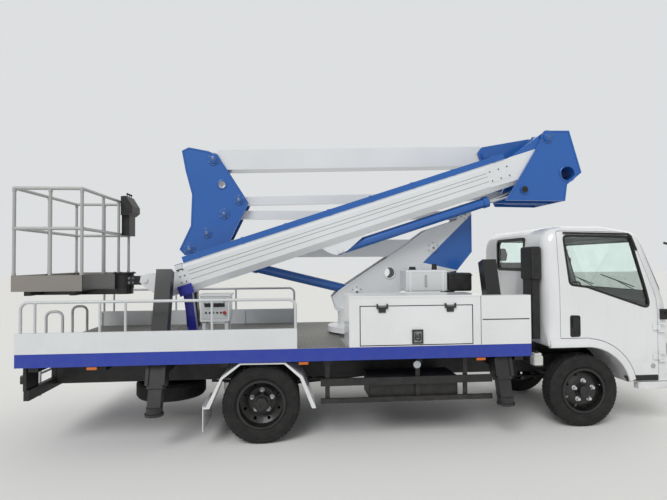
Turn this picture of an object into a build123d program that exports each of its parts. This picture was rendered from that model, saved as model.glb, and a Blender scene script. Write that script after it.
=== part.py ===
from build123d import *
import math
import os

# Cherry picker truck: a light forward-control lorry with a folding two-arm lift,
# a telescopic boom and a work basket, stowed for the road.
# Millimetres. X is measured forward from the rear axle, Y to the left, Z up from the ground.
# On export everything moves so that the origin is under the middle of the overall box.

# Overall layout
WHEELBASE = 3360.0
FRONT_OVERHANG = 970.0
CAB_FRONT_X = WHEELBASE + FRONT_OVERHANG
BUMPER_PROUD = 45.0
BASKET_REAR_X = -2420.0
CENTRE_X = (CAB_FRONT_X + BUMPER_PROUD + BASKET_REAR_X) / 2
RUNNING_FIT = 0.05
MOVING_GAP = 6.0
SEAT_GAP = 0.3

# Wheels and tyres
TYRE_RADIUS = 375.0
TYRE_WIDTH = 196.0
TYRE_BORE = 222.0
RIM_WALL = 9.0
HUB_RADIUS = 82.0
HUB_BORE = 32.0
NUT_CIRCLE = 104.0
NUT_COUNT = 5
NUT_RADIUS = 17.0
DISC_FLAT = 52.0
DISC_HALF = 6.0
HAND_HOLES = 8
HAND_HOLE_RADIUS = 15.0
FRONT_TRACK = 1398.0
REAR_TRACK = 1425.0
DUAL_SPACING = 235.0
STUB_RADIUS = HUB_BORE - RUNNING_FIT

# Ladder frame and subframe
FRAME_HALF_WIDTH = 350.0
FRAME_REAR_X = -2150.0
FRAME_FRONT_X = WHEELBASE + 790.0
RAIL_BOTTOM_Z = 500.0
RAIL_HEIGHT = 180.0
RAIL_FLANGE = 62.0
RAIL_WALL = 8.0
CROSS_WIDTH = 90.0
CROSS_HEIGHT = 120.0
SUBFRAME_FRONT_X = WHEELBASE - 720.0
SUBFRAME_WIDTH = 80.0
BEAM_HALF_LENGTH = 900.0
DECK_BOTTOM_Z = 800.0

# Axles and springs
SPRING_Y = 322.0
SPRING_WIDTH = 60.0
SPRING_HALF_LENGTH = 560.0
SPRING_THICKNESS = 36.0
KINGPIN_Y = 596.0
KINGPIN_RADIUS = 19.0
AXLE_TUBE_RADIUS = 62.0
DIFFERENTIAL_RADIUS = 175.0

# Spare wheel, engine and gearbox
GUARD_REAR_X = 575.0
GUARD_FRONT_X = 2300.0
SPARE_X = -1060.0
SPARE_Z = 360.0
ENGINE_HALF_WIDTH = 230.0
GEARBOX_REAR_X = WHEELBASE - 920.0
GEARBOX_Z = 558.0

# Cab
CAB_REAR_X = WHEELBASE - 417.0
CAB_HALF_WIDTH = 848.0
CAB_ROOF_Z = 2118.0
CAB_FLOOR_Z = 905.0
CAB_WALL = 38.0
CAB_UNDER_Z = CAB_FLOOR_Z - CAB_WALL - 17
CAB_LEAN_Z = 1440.0
CAB_LEAN_INSET = 62.0
ARCH_RADIUS = 470.0
ARCH_LIP = 78.0
ARCH_LIP_PROUD = 26.0
SILL_Z = 468.0
DOOR_REAR_X = WHEELBASE - 280.0
DOOR_FRONT_X = WHEELBASE + 790.0
DOOR_TOP_Z = 2062.0
DOOR_GAP = 6.0
DOOR_AXIS_X = DOOR_FRONT_X + 2
DOOR_AXIS_Y = CAB_HALF_WIDTH + 24
DOOR_HINGES_Z = (700.0, 1010.0)
DOOR_PIN_RADIUS = 7.0
GLASS_THICKNESS = 5.0

# Deck, side boards, rails and cabinets
DECK_REAR_X = -2220.0
DECK_FRONT_X = WHEELBASE - 679.0
DECK_HALF_WIDTH = 1000.0
DECK_TOP_Z = 923.0
DECK_PLATE = 6.0
DECK_RAIL_FLANGE = 60.0
TREAD_REAR_X = -2000.0
TREAD_FRONT_X = -1120.0
TREAD_HALF_WIDTH = 950.0
TREAD_PLATE = 3.0
BOARD_FRONT_X = 347.0
BOARD_TOP_Z = 1115.0
BOARD_THICKNESS = 25.0
HANDRAIL_RADIUS = 14.0
HANDRAIL_TOP_Z = 1395.0
GRAB_REAR_X = -2185.0
GRAB_LENGTH = 160.0
GRAB_TOP_Z = 1262.0
LADDER_Y = (-505.0, 85.0)
CABINET_REAR_X = 850.0
CABINET_STEP_X = 2165.0
CABINET_TOP_Z = 1417.0
CABINET_DEPTH = 440.0
CABINET_WALL = 20.0
CABINET_DOOR_REAR_X = 956.0
CABINET_DOOR_FRONT_X = 2080.0
CABINET_DOOR_BOTTOM_Z = 935.0
CABINET_DOOR_TOP_Z = 1318.0
LID_THICKNESS = 22.0
LID_GAP = 5.0
LID_AXIS_Y = -DECK_HALF_WIDTH - 12
LID_AXIS_Z = CABINET_DOOR_TOP_Z - LID_GAP - 14
LID_HINGES_X = (CABINET_DOOR_REAR_X + 216, CABINET_DOOR_REAR_X + 896)
LID_PIN_RADIUS = 5.0

# Outriggers, leaning out at the foot
LEG_LEAN = 16.2
LEG_TUBE_X = 150.0
LEG_TUBE_Y = 130.0
LEG_WALL = 8.0
SLEEVE_BRACKET = 15.0
REAR_LEG_X = -982.0
FRONT_LEG_X = WHEELBASE - 960.0
LEG_TOP_Y = 603.0
REAR_LEG_TOP_Z = 1672.0
FRONT_LEG_TOP_Z = 1750.0
LEG_SLEEVE_END_Z = 560.0
FOOT_BOTTOM_Z = 334.0
FOOT_SIZE = 172.0
FOOT_THICKNESS = 22.0

# Folding arms: pivots on the tower (C), the rear elbow (A) and the front elbow (B)
ARM_PLANE_Y = 60.0
ARM_WIDTH = 240.0
ROD_WIDTH = 120.0
TOWER_ARM_X = 1960.0
TOWER_ARM_Z = 1908.0
ARM_1_LENGTH = 2810.0
ROD_1_OFFSET_X = 388.0
ROD_1_OFFSET_Z = 395.0
ARM_2_PIVOT_RISE_X = 268.0
ARM_2_PIVOT_RISE_Z = 1018.0
ARM_2_LENGTH = 3194.0
ARM_2_SLOPE = 1.52
ROD_2_OFFSET_X = 286.0
ROD_2_OFFSET_Z = -464.0
ARM_1_HEIGHT = 200.0
ARM_2_HEIGHT = 230.0
ROD_HEIGHT = 96.0
ARM_WALL = 10.0
PIN_RADIUS = 35.0
PIN_PROUD = 26.0
CHEEK = 20.0

# Telescopic boom and its luff cylinder
BOOM_PLANE_Y = -320.0
BOOM_PIN_RADIUS = 40.0
BOOM_PIVOT_X = 3182.0
BOOM_PIVOT_Z = 3144.0
BOOM_SLOPE = 18.0
BOOM_DROP = 242.0
BOOM_ROOT = 470.0
BOOM_BASE_END = 4350.0
BOOM_FACET = 42.0
BOOM_BASE_WIDTH = 250.0
BOOM_BASE_HEIGHT = 312.0
BOOM_WALL = 9.0
BOOM_STAGE_GAP = 9.0
BOOM_COVER = 70.0
TIP_CUT_LENGTH = 42.0
TIP_CUT_DROP = 270.0

# Luff, lift and elbow cylinders
LUFF_EYE_X = 830.0
LUFF_EYE_Z = 1882.0
LUFF_BARREL_RADIUS = 55.0
LUFF_BARREL_LENGTH = 1790.0
LUFF_ROD_RADIUS = 32.0
LIFT_FOOT_X = 1050.0
LIFT_FOOT_Z = 1400.0
LIFT_EYE_X = -250.0
LIFT_EYE_Z = 1722.0
LIFT_BARREL_RADIUS = 55.0
LIFT_BARREL_LENGTH = 1235.0
LIFT_ROD_RADIUS = 32.0
ELBOW_FOOT_X = -657.0
ELBOW_FOOT_Z = 2085.0
ELBOW_EYE_X = -865.0
ELBOW_EYE_Z = 2966.0
ELBOW_BARREL_RADIUS = 48.0
ELBOW_BARREL_LENGTH = 515.0
ELBOW_ROD_RADIUS = 27.0
EYE_WIDTH = 60.0
EYE_WALL = 22.0

# Turret
TURRET_X = 1080.0
TURRET_RING_RADIUS = 300.0
TURRET_RING_TOP_Z = 1010.0
TURRET_DRUM_TOP_Z = 1214.0
TURRET_DRUM_RADIUS = 245.0

# Boom rest
REST_HALF_WIDTH = 150.0

# Basket and its bracket
BASKET_X = -1750.0
BASKET_HALF_WIDTH = 700.0
BASKET_FLOOR_Z = 1479.0
BASKET_TOP_Z = 2511.0
BASKET_MID_Z = 2098.0
TOE_BOARD_TOP_Z = 1637.0
BASKET_TUBE = 17.0
BASKET_BEAM_BOTTOM_Z = 1426.0
TIP_PIVOT_X = -1240.0
TIP_PIVOT_Z = 1568.0
SWIVEL_X = -1480.0
SWIVEL_RADIUS = 95.0
SWIVEL_SPLIT_Z = 1484.0
SWIVEL_TOP_Z = 1640.0

# Seats, steering and air intake
INTAKE_Y = -640.0
SEAT_PLACES = ((-745.0, -255.0), (-245.0, 205.0), (225.0, 745.0))
SEAT_BASE_Z = 1000.0
STEERING_Y = 470.0
COLUMN_FOOT = (WHEELBASE + 730.0, STEERING_Y, 1180.0)
COLUMN_TOP = (WHEELBASE + 600.0, STEERING_Y, 1300.0)

# Places worked out from the sizes above
UPRIGHT = (Align.CENTER, Align.CENTER, Align.MIN)
CHEEK_IN_LOW = ARM_PLANE_Y - ARM_WIDTH / 2 - MOVING_GAP
CHEEK_OUT_LOW = CHEEK_IN_LOW - CHEEK
CHEEK_IN_HIGH = ARM_PLANE_Y + ARM_WIDTH / 2 + MOVING_GAP
CHEEK_OUT_HIGH = CHEEK_IN_HIGH + CHEEK
BOOM_CHEEK_IN = BOOM_BASE_WIDTH / 2 + MOVING_GAP
BOOM_CHEEKS = ((BOOM_PLANE_Y - BOOM_CHEEK_IN - CHEEK, BOOM_PLANE_Y - BOOM_CHEEK_IN),
               (BOOM_PLANE_Y + BOOM_CHEEK_IN, BOOM_PLANE_Y + BOOM_CHEEK_IN + CHEEK))
ELBOW_A_X = TOWER_ARM_X - ARM_1_LENGTH
ROD_1_X = TOWER_ARM_X + ROD_1_OFFSET_X
ROD_1_Z = TOWER_ARM_Z + ROD_1_OFFSET_Z
ARM_2_X = ELBOW_A_X + ARM_2_PIVOT_RISE_X
ARM_2_Z = TOWER_ARM_Z + ARM_2_PIVOT_RISE_Z
ROD_2_X = ARM_2_X + ROD_2_OFFSET_X
ROD_2_Z = ARM_2_Z + ROD_2_OFFSET_Z
B_ARM_X = ARM_2_X + ARM_2_LENGTH * math.cos(math.radians(ARM_2_SLOPE))
B_ARM_Z = ARM_2_Z + ARM_2_LENGTH * math.sin(math.radians(ARM_2_SLOPE))
B_ROD_X = B_ARM_X + ROD_2_OFFSET_X
B_ROD_Z = B_ARM_Z + ROD_2_OFFSET_Z


# Shapes that many pieces are made with

def block(x0, x1, y0, y1, z0, z1):
    """Box from one corner to the other."""
    middle = Location(((x0 + x1) / 2, (y0 + y1) / 2, (z0 + z1) / 2))
    return middle * Box(x1 - x0, y1 - y0, z1 - z0)


def plate(points, y0, y1, corner=0.0):
    """Plate with its outline in X and Z, from y0 to y1."""
    outline = make_face(Polyline(*points, close=True))
    if corner > 0:
        outline = fillet(outline.vertices(), corner)
    side = Plane(origin=(0, y0, 0), x_dir=(1, 0, 0), z_dir=(0, -1, 0))
    return extrude(side * outline, amount=y1 - y0, dir=(0, 1, 0))


def bar_x(points, x0, x1, corner=0.0):
    """Bar with its section in Y and Z, from x0 to x1."""
    outline = make_face(Polyline(*points, close=True))
    if corner > 0:
        outline = fillet(outline.vertices(), corner)
    front = Plane(origin=(x0, 0, 0), x_dir=(0, 1, 0), z_dir=(1, 0, 0))
    return extrude(front * outline, amount=x1 - x0, dir=(1, 0, 0))


def rod(start, end, radius):
    """Round bar between two points."""
    a = Vector(*start)
    b = Vector(*end)
    along_bar = Plane(origin=a, z_dir=(b - a).normalized())
    return along_bar * Cylinder(radius, (b - a).length, align=(Align.CENTER, Align.CENTER, Align.MIN))


def pin(x, z, radius, y0, y1):
    """Round bar along Y."""
    return rod((x, y0, z), (x, y1, z), radius)


def bent_tube(points, bend, radius):
    """Round tube, drawn solid, along straight runs with rounded corners."""
    path = FilletPolyline(*points, radius=bend)
    start = Plane(origin=path @ 0, z_dir=path % 0)
    return sweep(start * Circle(radius), path=path)


def turned(points, x, y, z):
    """Ring turned about a line along Y, from (radius, y) points."""
    section = make_face(Polyline(*points, close=True))
    return Location((x, y, z)) * revolve(section, Axis.Y, 360)


def on_line(x, y, z, slope):
    """Place where local +X points forward and up by the slope in degrees."""
    return Location((x, y, z), (0, -slope, 0))


def box_beam(length, width, height, wall):
    """Hollow beam along +X from the origin, open at both ends, centred in Y and Z."""
    outer = block(0, length, -width / 2, width / 2, -height / 2, height / 2)
    inner = block(-1, length + 1, -width / 2 + wall, width / 2 - wall, -height / 2 + wall, height / 2 - wall)
    return outer - inner


def mirrored(shape):
    """The same shape on the other side of the vehicle."""
    return mirror(shape, about=Plane.XZ)


def slope_of(x0, z0, x1, z1):
    """Slope in degrees of the line from the first point to the second."""
    return math.degrees(math.atan2(z1 - z0, x1 - x0))


def span_of(x0, z0, x1, z1):
    """Distance between two points in X and Z."""
    return math.hypot(x1 - x0, z1 - z0)


# Chassis

def ladder_frame():
    """Two channel rails with the cab's mounts, and the cross members bolted between them."""
    top = RAIL_BOTTOM_Z + RAIL_HEIGHT
    rail = block(FRAME_REAR_X, FRAME_FRONT_X, FRAME_HALF_WIDTH - RAIL_FLANGE, FRAME_HALF_WIDTH,
                 RAIL_BOTTOM_Z, top)
    rail -= block(FRAME_REAR_X - 1, FRAME_FRONT_X + 1, FRAME_HALF_WIDTH - RAIL_FLANGE - 1,
                  FRAME_HALF_WIDTH - RAIL_WALL, RAIL_BOTTOM_Z + RAIL_WALL, top - RAIL_WALL)
    for x in (CAB_REAR_X + 37, CAB_FRONT_X - 270):
        rail += block(x, x + 80, FRAME_HALF_WIDTH - 60, FRAME_HALF_WIDTH, top - 1, CAB_UNDER_Z - SEAT_GAP)
    members = [rail, mirrored(rail)]
    web = FRAME_HALF_WIDTH - RAIL_WALL - SEAT_GAP
    high = top - RAIL_WALL - SEAT_GAP
    low = high - CROSS_HEIGHT
    for x in (FRAME_REAR_X, SPARE_X - CROSS_WIDTH / 2, -250, 420, 1250, 1750, WHEELBASE + 490,
              FRAME_FRONT_X - CROSS_WIDTH):
        cross = block(x, x + CROSS_WIDTH, -web, web, low, high)
        cross -= block(x + RAIL_WALL, x + CROSS_WIDTH + 1, -web - 1, web + 1,
                       low + RAIL_WALL, high - RAIL_WALL)
        members.append(cross)
    return members


def subframe():
    """Box rails on the ladder frame, with cross beams that carry the deck and the legs."""
    bottom = RAIL_BOTTOM_Z + RAIL_HEIGHT
    rail = block(FRAME_REAR_X, SUBFRAME_FRONT_X, FRAME_HALF_WIDTH - SUBFRAME_WIDTH, FRAME_HALF_WIDTH,
                 bottom, DECK_BOTTOM_Z)
    frame = rail + mirrored(rail)
    half = BEAM_HALF_LENGTH
    for x in (FRAME_REAR_X, -1540, -400, 600, 1500, SUBFRAME_FRONT_X - CROSS_WIDTH):
        frame += block(x, x + CROSS_WIDTH, -half, half, DECK_BOTTOM_Z - 60, DECK_BOTTOM_Z)
    for leg_x in (REAR_LEG_X, FRONT_LEG_X):
        reach = leg_y(DECK_BOTTOM_Z, leg_x)
        frame += block(leg_x - LEG_TUBE_X / 2, leg_x + LEG_TUBE_X / 2, -reach, reach, bottom, DECK_BOTTOM_Z)
        frame -= sleeve_space(leg_x, SEAT_GAP)
        frame -= mirrored(sleeve_space(leg_x, SEAT_GAP))
    return frame


def leg_top(leg_x):
    """Height of the top of the leg's tube at a station."""
    return REAR_LEG_TOP_Z if leg_x == REAR_LEG_X else FRONT_LEG_TOP_Z


def leg_y(z, leg_x):
    """Middle of the leg in Y at a height, for the left leg of a station."""
    return LEG_TOP_Y + (leg_top(leg_x) - z) * math.tan(math.radians(LEG_LEAN))


def leg_place(leg_x):
    """Place at the top of a left leg, with local -Z down along it."""
    return Location((leg_x, LEG_TOP_Y, leg_top(leg_x)), (LEG_LEAN, 0, 0))


def leg_length(leg_x, z):
    """Distance along the leg from its top to a height."""
    return (leg_top(leg_x) - z) / math.cos(math.radians(LEG_LEAN))


def sleeve_space(leg_x, room):
    """Room that a left sleeve and its bracket plates take in the frame and deck."""
    half_x = LEG_TUBE_X / 2 + SLEEVE_BRACKET + room
    half_y = LEG_TUBE_Y / 2 + SLEEVE_BRACKET + room
    return leg_place(leg_x) * block(-half_x, half_x, -half_y, half_y, -leg_length(leg_x, 0), 0)


def leg_sleeve(leg_x):
    """Outer tube of one outrigger with its cap and bracket plates."""
    length = leg_length(leg_x, LEG_SLEEVE_END_Z)
    half_x = LEG_TUBE_X / 2
    half_y = LEG_TUBE_Y / 2
    tube = block(-half_x, half_x, -half_y, half_y, -length, 0)
    tube -= block(-half_x + LEG_WALL, half_x - LEG_WALL, -half_y + LEG_WALL, half_y - LEG_WALL,
                  -length - 1, -LEG_WALL)
    low = leg_length(leg_x, DECK_BOTTOM_Z - 40)
    for side in (-1, 1):
        flange = block(side * half_x - SLEEVE_BRACKET, side * half_x + SLEEVE_BRACKET,
                       -half_y - SLEEVE_BRACKET, half_y + SLEEVE_BRACKET, -length + 30, -low)
        tube += flange - block(-half_x + LEG_WALL, half_x - LEG_WALL, -half_y, half_y, -length, 0)
    pad = MOVING_GAP - SEAT_GAP
    for side in (-1, 1):
        x = side * (half_x - LEG_WALL)
        y = side * (half_y - LEG_WALL)
        tube += block(min(x, x - side * pad), max(x, x - side * pad), -30, 30, -length, -length + 120)
        tube += block(-35, 35, min(y, y - side * pad), max(y, y - side * pad), -length, -length + 120)
    return leg_place(leg_x) * tube


def outrigger_sleeves():
    """The four outer tubes."""
    left = [leg_sleeve(REAR_LEG_X), leg_sleeve(FRONT_LEG_X)]
    return left + [mirrored(sleeve) for sleeve in left]


def outrigger_leg(leg_x, side):
    """Inner tube of one outrigger with its foot plate."""
    half_x = LEG_TUBE_X / 2 - LEG_WALL - MOVING_GAP
    half_y = LEG_TUBE_Y / 2 - LEG_WALL - MOVING_GAP
    end = leg_length(leg_x, FOOT_BOTTOM_Z + FOOT_THICKNESS)
    inner = block(-half_x, half_x, -half_y, half_y, -end - 20, -LEG_WALL - 60)
    inner -= block(-half_x + LEG_WALL, half_x - LEG_WALL, -half_y + LEG_WALL, half_y - LEG_WALL,
                   -end + 40, -LEG_WALL - 61)
    leg = leg_place(leg_x) * inner
    middle = leg_y(FOOT_BOTTOM_Z, leg_x)
    leg -= block(leg_x - 400, leg_x + 400, middle - 400, middle + 400, 0, FOOT_BOTTOM_Z + FOOT_THICKNESS)
    collar = Location((leg_x, middle, FOOT_BOTTOM_Z + FOOT_THICKNESS))
    leg += collar * Cylinder(FOOT_SIZE / 2 - 12, 56, align=(Align.CENTER, Align.CENTER, Align.MIN))
    leg += Location((leg_x, middle, FOOT_BOTTOM_Z)) * Cylinder(FOOT_SIZE / 2, FOOT_THICKNESS,
                                                              align=(Align.CENTER, Align.CENTER, Align.MIN))
    return leg if side > 0 else mirrored(leg)


# Axles, springs and wheels

def leaf_springs(axle_x, axle_top):
    """Pair of leaf springs with the hangers that tie them to the frame."""
    spring = Part()
    for side in (-1, 1):
        y = side * SPRING_Y
        for step in range(3):
            half = SPRING_HALF_LENGTH - 130 * step
            low = axle_top + (2 - step) * SPRING_THICKNESS / 3
            spring += block(axle_x - half, axle_x + half, y - SPRING_WIDTH / 2, y + SPRING_WIDTH / 2,
                            low, low + SPRING_THICKNESS / 3)
        for end in (-1, 1):
            x = axle_x + end * (SPRING_HALF_LENGTH - 24)
            spring += block(x - 24, x + 24, y - SPRING_WIDTH / 2 + 8, y + SPRING_WIDTH / 2 - 8,
                            axle_top + SPRING_THICKNESS, RAIL_BOTTOM_Z)
    return spring


def front_axle():
    """Forged beam with its king pin eyes, and the front springs."""
    end_y = KINGPIN_Y - 60
    low = TYRE_RADIUS - 45
    top = TYRE_RADIUS + 35
    beam = block(WHEELBASE - 38, WHEELBASE + 38, -end_y, end_y, low, top)
    for side in (-1, 1):
        beam -= block(WHEELBASE + side * 30 - 18, WHEELBASE + side * 30 + 18, -end_y + 40, end_y - 40,
                      low + 20, top - 20)
    for side in (-1, 1):
        y = side * KINGPIN_Y
        beam += Location((WHEELBASE, y, TYRE_RADIUS)) * Cylinder(44, 90)
        beam += block(WHEELBASE - 34, WHEELBASE + 34, min(y, y - side * 62), max(y, y - side * 62), low, top)
        beam -= Location((WHEELBASE, y, TYRE_RADIUS)) * Cylinder(KINGPIN_RADIUS + RUNNING_FIT, 200)
    return beam + leaf_springs(WHEELBASE, top)


def rear_axle():
    """Banjo housing with its differential and the rear springs."""
    half = REAR_TRACK / 2 - DUAL_SPACING / 2 - TYRE_WIDTH / 2 - 8
    axle = pin(0, TYRE_RADIUS, AXLE_TUBE_RADIUS, -half, half)
    axle += Location((0, 0, TYRE_RADIUS)) * Sphere(DIFFERENTIAL_RADIUS)
    axle += rod((0, 0, TYRE_RADIUS), (DIFFERENTIAL_RADIUS + 110, 0, TYRE_RADIUS), 58)
    for side in (-1, 1):
        axle += pin(0, TYRE_RADIUS, STUB_RADIUS, side * (half - 10), side * (REAR_TRACK / 2 + 60))
        axle += block(-50, 50, side * SPRING_Y - 40, side * SPRING_Y + 40, TYRE_RADIUS, TYRE_RADIUS + 72)
    return axle + leaf_springs(0, TYRE_RADIUS + 72)


def steering_knuckle(side):
    """King pin yoke with its stub axle."""
    y = side * KINGPIN_Y
    y_in = side * (KINGPIN_Y + 52)
    y_out = side * (KINGPIN_Y + 78)
    gap = 45 + MOVING_GAP / 4
    knuckle = Location((WHEELBASE, y, TYRE_RADIUS)) * Cylinder(KINGPIN_RADIUS, 2 * gap + 40)
    for end in (-1, 1):
        z = TYRE_RADIUS + end * (gap + 16)
        knuckle += Location((WHEELBASE, y, z)) * Cylinder(40, 32)
        knuckle += block(WHEELBASE - 34, WHEELBASE + 34, min(y, y_out), max(y, y_out), z - 16, z + 16)
    knuckle += block(WHEELBASE - 34, WHEELBASE + 34, min(y_in, y_out), max(y_in, y_out),
                     TYRE_RADIUS - gap - 32, TYRE_RADIUS + gap + 32)
    knuckle += pin(WHEELBASE, TYRE_RADIUS, STUB_RADIUS, y_in, side * (FRONT_TRACK / 2 + 70))
    knuckle += pin(WHEELBASE, TYRE_RADIUS, STUB_RADIUS + 14, y_in, y_out + side * 9)
    return knuckle


def tyre(x, y):
    """One tyre with rounded shoulders and a bore for its rim."""
    half = TYRE_WIDTH / 2
    section = ((TYRE_BORE, -half + 20), (TYRE_BORE + 18, -half + 20), (TYRE_BORE + 32, -half + 5),
               (TYRE_BORE + 75, -half),
               (TYRE_RADIUS - 42, -half + 2), (TYRE_RADIUS - 14, -half + 12), (TYRE_RADIUS, -half + 30),
               (TYRE_RADIUS, half - 30), (TYRE_RADIUS - 14, half - 12), (TYRE_RADIUS - 42, half - 2),
               (TYRE_BORE + 75, half), (TYRE_BORE + 32, half - 5), (TYRE_BORE + 18, half - 20),
               (TYRE_BORE, half - 20))
    return turned(section, x, y, TYRE_RADIUS)


def rim_section(middle, hub_y, rim_y):
    """Rim barrel with its flanges, and the disc that runs in to the hub."""
    seat = TYRE_BORE - SEAT_GAP
    half = TYRE_WIDTH / 2 - 20
    inner = seat - RIM_WALL
    lip = half + SEAT_GAP
    ring = [(inner, -half - 10), (seat + 14, -half - 10), (seat + 14, -lip), (seat, -lip)]
    ring += [(seat, lip), (seat + 14, lip), (seat + 14, half + 10), (inner, half + 10)]
    barrel = turned([(r, y + middle) for r, y in ring], 0, 0, 0)
    flat = HUB_RADIUS + DISC_FLAT
    disc = [(HUB_RADIUS - 4, hub_y - DISC_HALF), (flat, hub_y - DISC_HALF), (inner + 2, rim_y - DISC_HALF),
            (inner + 2, rim_y + DISC_HALF), (flat, hub_y + DISC_HALF), (HUB_RADIUS - 4, hub_y + DISC_HALF)]
    wheel = barrel + turned(disc, 0, 0, 0)
    r = (flat + inner) / 2 + 4
    middle_y = (hub_y + rim_y) / 2
    for turn in range(HAND_HOLES):
        angle = math.radians(360 / HAND_HOLES * (turn + 0.5))
        wheel -= pin(r * math.cos(angle), r * math.sin(angle), HAND_HOLE_RADIUS, middle_y - 50, middle_y + 50)
    return wheel


def hub(side, inside_y, outside_y, disc_y):
    """Hub with its blind bore, cap and wheel nuts."""
    low = min(side * inside_y, side * outside_y)
    high = max(side * inside_y, side * outside_y)
    body = pin(0, 0, HUB_RADIUS, low, high)
    body += pin(0, 0, 62, side * outside_y, side * (outside_y + 34))
    body -= pin(0, 0, HUB_BORE, side * (inside_y - 1), side * (outside_y - 8))
    for turn in range(NUT_COUNT):
        angle = math.radians(90 + 360 / NUT_COUNT * turn)
        body += pin(NUT_CIRCLE * math.cos(angle), NUT_CIRCLE * math.sin(angle), NUT_RADIUS,
                    side * disc_y, side * (disc_y + 30))
    return body


def front_wheel(side):
    """Front rim and hub, with the disc pushed out."""
    wheel = rim_section(0, side * 62, side * 24) + hub(side, -10, 84, 62)
    return Location((WHEELBASE, side * FRONT_TRACK / 2, TYRE_RADIUS)) * wheel


def rear_wheels(side):
    """Twin rims on one hub, the outer disc sunk in."""
    half = DUAL_SPACING / 2
    pair = rim_section(side * half, side * 40, side * 84) + rim_section(-side * half, side * 12, -side * 60)
    pair += hub(side, -40, 150, 40)
    return Location((0, side * REAR_TRACK / 2, TYRE_RADIUS)) * pair


def rear_tyres(side):
    """Twin tyres of one side."""
    middle = side * REAR_TRACK / 2
    return [tyre(0, middle + end * DUAL_SPACING / 2) for end in (-1, 1)]


# Engine and what hangs under the frame

def engine_block():
    """Engine and gearbox as one plain mass under the cab, with its mounts."""
    half = ENGINE_HALF_WIDTH
    engine = block(WHEELBASE - 400, WHEELBASE + 440, -half, half, 560, 840)
    engine += block(WHEELBASE - 360, WHEELBASE + 340, -150, 150, 450, 561)
    engine += rod((WHEELBASE - 390, 0, GEARBOX_Z), (GEARBOX_REAR_X, 0, GEARBOX_Z), 108)
    web = FRAME_HALF_WIDTH - RAIL_WALL - SEAT_GAP
    mount = block(WHEELBASE - 260, WHEELBASE - 170, half - 5, web, 575, 620)
    return engine + mount + mirrored(mount)


def propeller_shaft():
    """Tube shaft from the gearbox to the rear axle with a joint at each end."""
    rear_x = DIFFERENTIAL_RADIUS + 110 + SEAT_GAP
    front_x = GEARBOX_REAR_X - SEAT_GAP
    shaft = rod((rear_x + 60, 0, TYRE_RADIUS), (front_x - 60, 0, GEARBOX_Z - 8), 38)
    shaft += rod((front_x, 0, GEARBOX_Z - 8), (front_x - 70, 0, GEARBOX_Z - 8), 58)
    shaft += rod((rear_x, 0, TYRE_RADIUS), (rear_x + 70, 0, TYRE_RADIUS), 58)
    return shaft


def exhaust():
    """Silencer with its pipes, hung from the left rail behind the cab."""
    y = 500
    silencer = rod((WHEELBASE - 1240, y, 500), (WHEELBASE - 660, y, 500), 95)
    silencer += bent_tube([(WHEELBASE - 680, y, 500), (WHEELBASE - 560, y, 473), (WHEELBASE - 440, y, 473),
                           (WHEELBASE - 440, 150, 473)], 40, 22)
    silencer += bent_tube([(WHEELBASE - 1210, y, 500), (WHEELBASE - 1300, y, 500),
                           (WHEELBASE - 1300, 820, 470)], 40, 28)
    for x in (WHEELBASE - 1110, WHEELBASE - 760):
        silencer += block(x - 15, x + 15, FRAME_HALF_WIDTH + SEAT_GAP, y, 560, 590)
    return silencer


def side_boxes():
    """Battery and tool box on the right, fuel tank on the left, with their brackets."""
    right = block(1060, 1960, -890, -520, 385, 605)
    right = fillet(right.edges(), 14)
    for x in (1150, 1840):
        right += block(x, x + 40, -530, -FRAME_HALF_WIDTH - SEAT_GAP, 510, 560)
    left = block(1060, 1960, 600, 890, 330, 620)
    left = fillet(left.edges().filter_by(Axis.X), 60)
    for x in (1150, 1840):
        left += block(x, x + 40, FRAME_HALF_WIDTH + SEAT_GAP, 610, 510, 560)
    return [right, left]


def side_guards():
    """Two rails along each side below the deck, on hangers at the cross beams' ends."""
    face = BEAM_HALF_LENGTH + 12
    bars = [block(GUARD_REAR_X, GUARD_FRONT_X, face, face + 25, 540, 612),
            block(GUARD_REAR_X, GUARD_FRONT_X, face, face + 25, 372, 420)]
    for x in (620, 1520, 2005):
        bars.append(block(x, x + 45, BEAM_HALF_LENGTH + SEAT_GAP, face - SEAT_GAP, 372, DECK_BOTTOM_Z - SEAT_GAP))
    return bars + [mirrored(bar) for bar in bars]


def spare_wheel():
    """Spare wheel lying flat under the rear frame, on its winch stem."""
    half = TYRE_WIDTH / 2
    bore = TYRE_BORE - 12
    ring = turned(((bore, -half + 20), (TYRE_BORE + 60, -half), (TYRE_RADIUS - 20, -half + 10),
                   (TYRE_RADIUS, -half + 38), (TYRE_RADIUS, half - 38), (TYRE_RADIUS - 20, half - 10),
                   (TYRE_BORE + 60, half), (bore, half - 20)), 0, 0, 0)
    wheel = Rot(90, 0, 0) * ring + Cylinder(bore + 2, 14)
    top = RAIL_BOTTOM_Z + RAIL_HEIGHT - RAIL_WALL - CROSS_HEIGHT - 2 * SEAT_GAP
    wheel += Cylinder(30, top - SPARE_Z, align=UPRIGHT)
    return Location((SPARE_X, 0, SPARE_Z)) * wheel


def rear_guard():
    """Underrun bar at the tail with its lamp plates."""
    rear = DECK_REAR_X + 20
    front = FRAME_REAR_X - SEAT_GAP
    bar = block(rear, front, -880, 880, 470, 570)
    for side in (-1, 1):
        bar += block(rear, front, side * 330 - 25, side * 330 + 25, 560, DECK_BOTTOM_Z - SEAT_GAP)
        bar += block(rear, rear + 30, side * 780 - 110, side * 780 + 110, 565, 780)
    return bar


def rear_lamps():
    """Pair of rear lamp units on the lamp plates."""
    lamp = block(DECK_REAR_X - 22, DECK_REAR_X + 20 - SEAT_GAP, 700, 860, 620, 700)
    lamp = fillet(lamp.edges().filter_by(Axis.X), 14)
    return [lamp, mirrored(lamp)]


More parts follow.
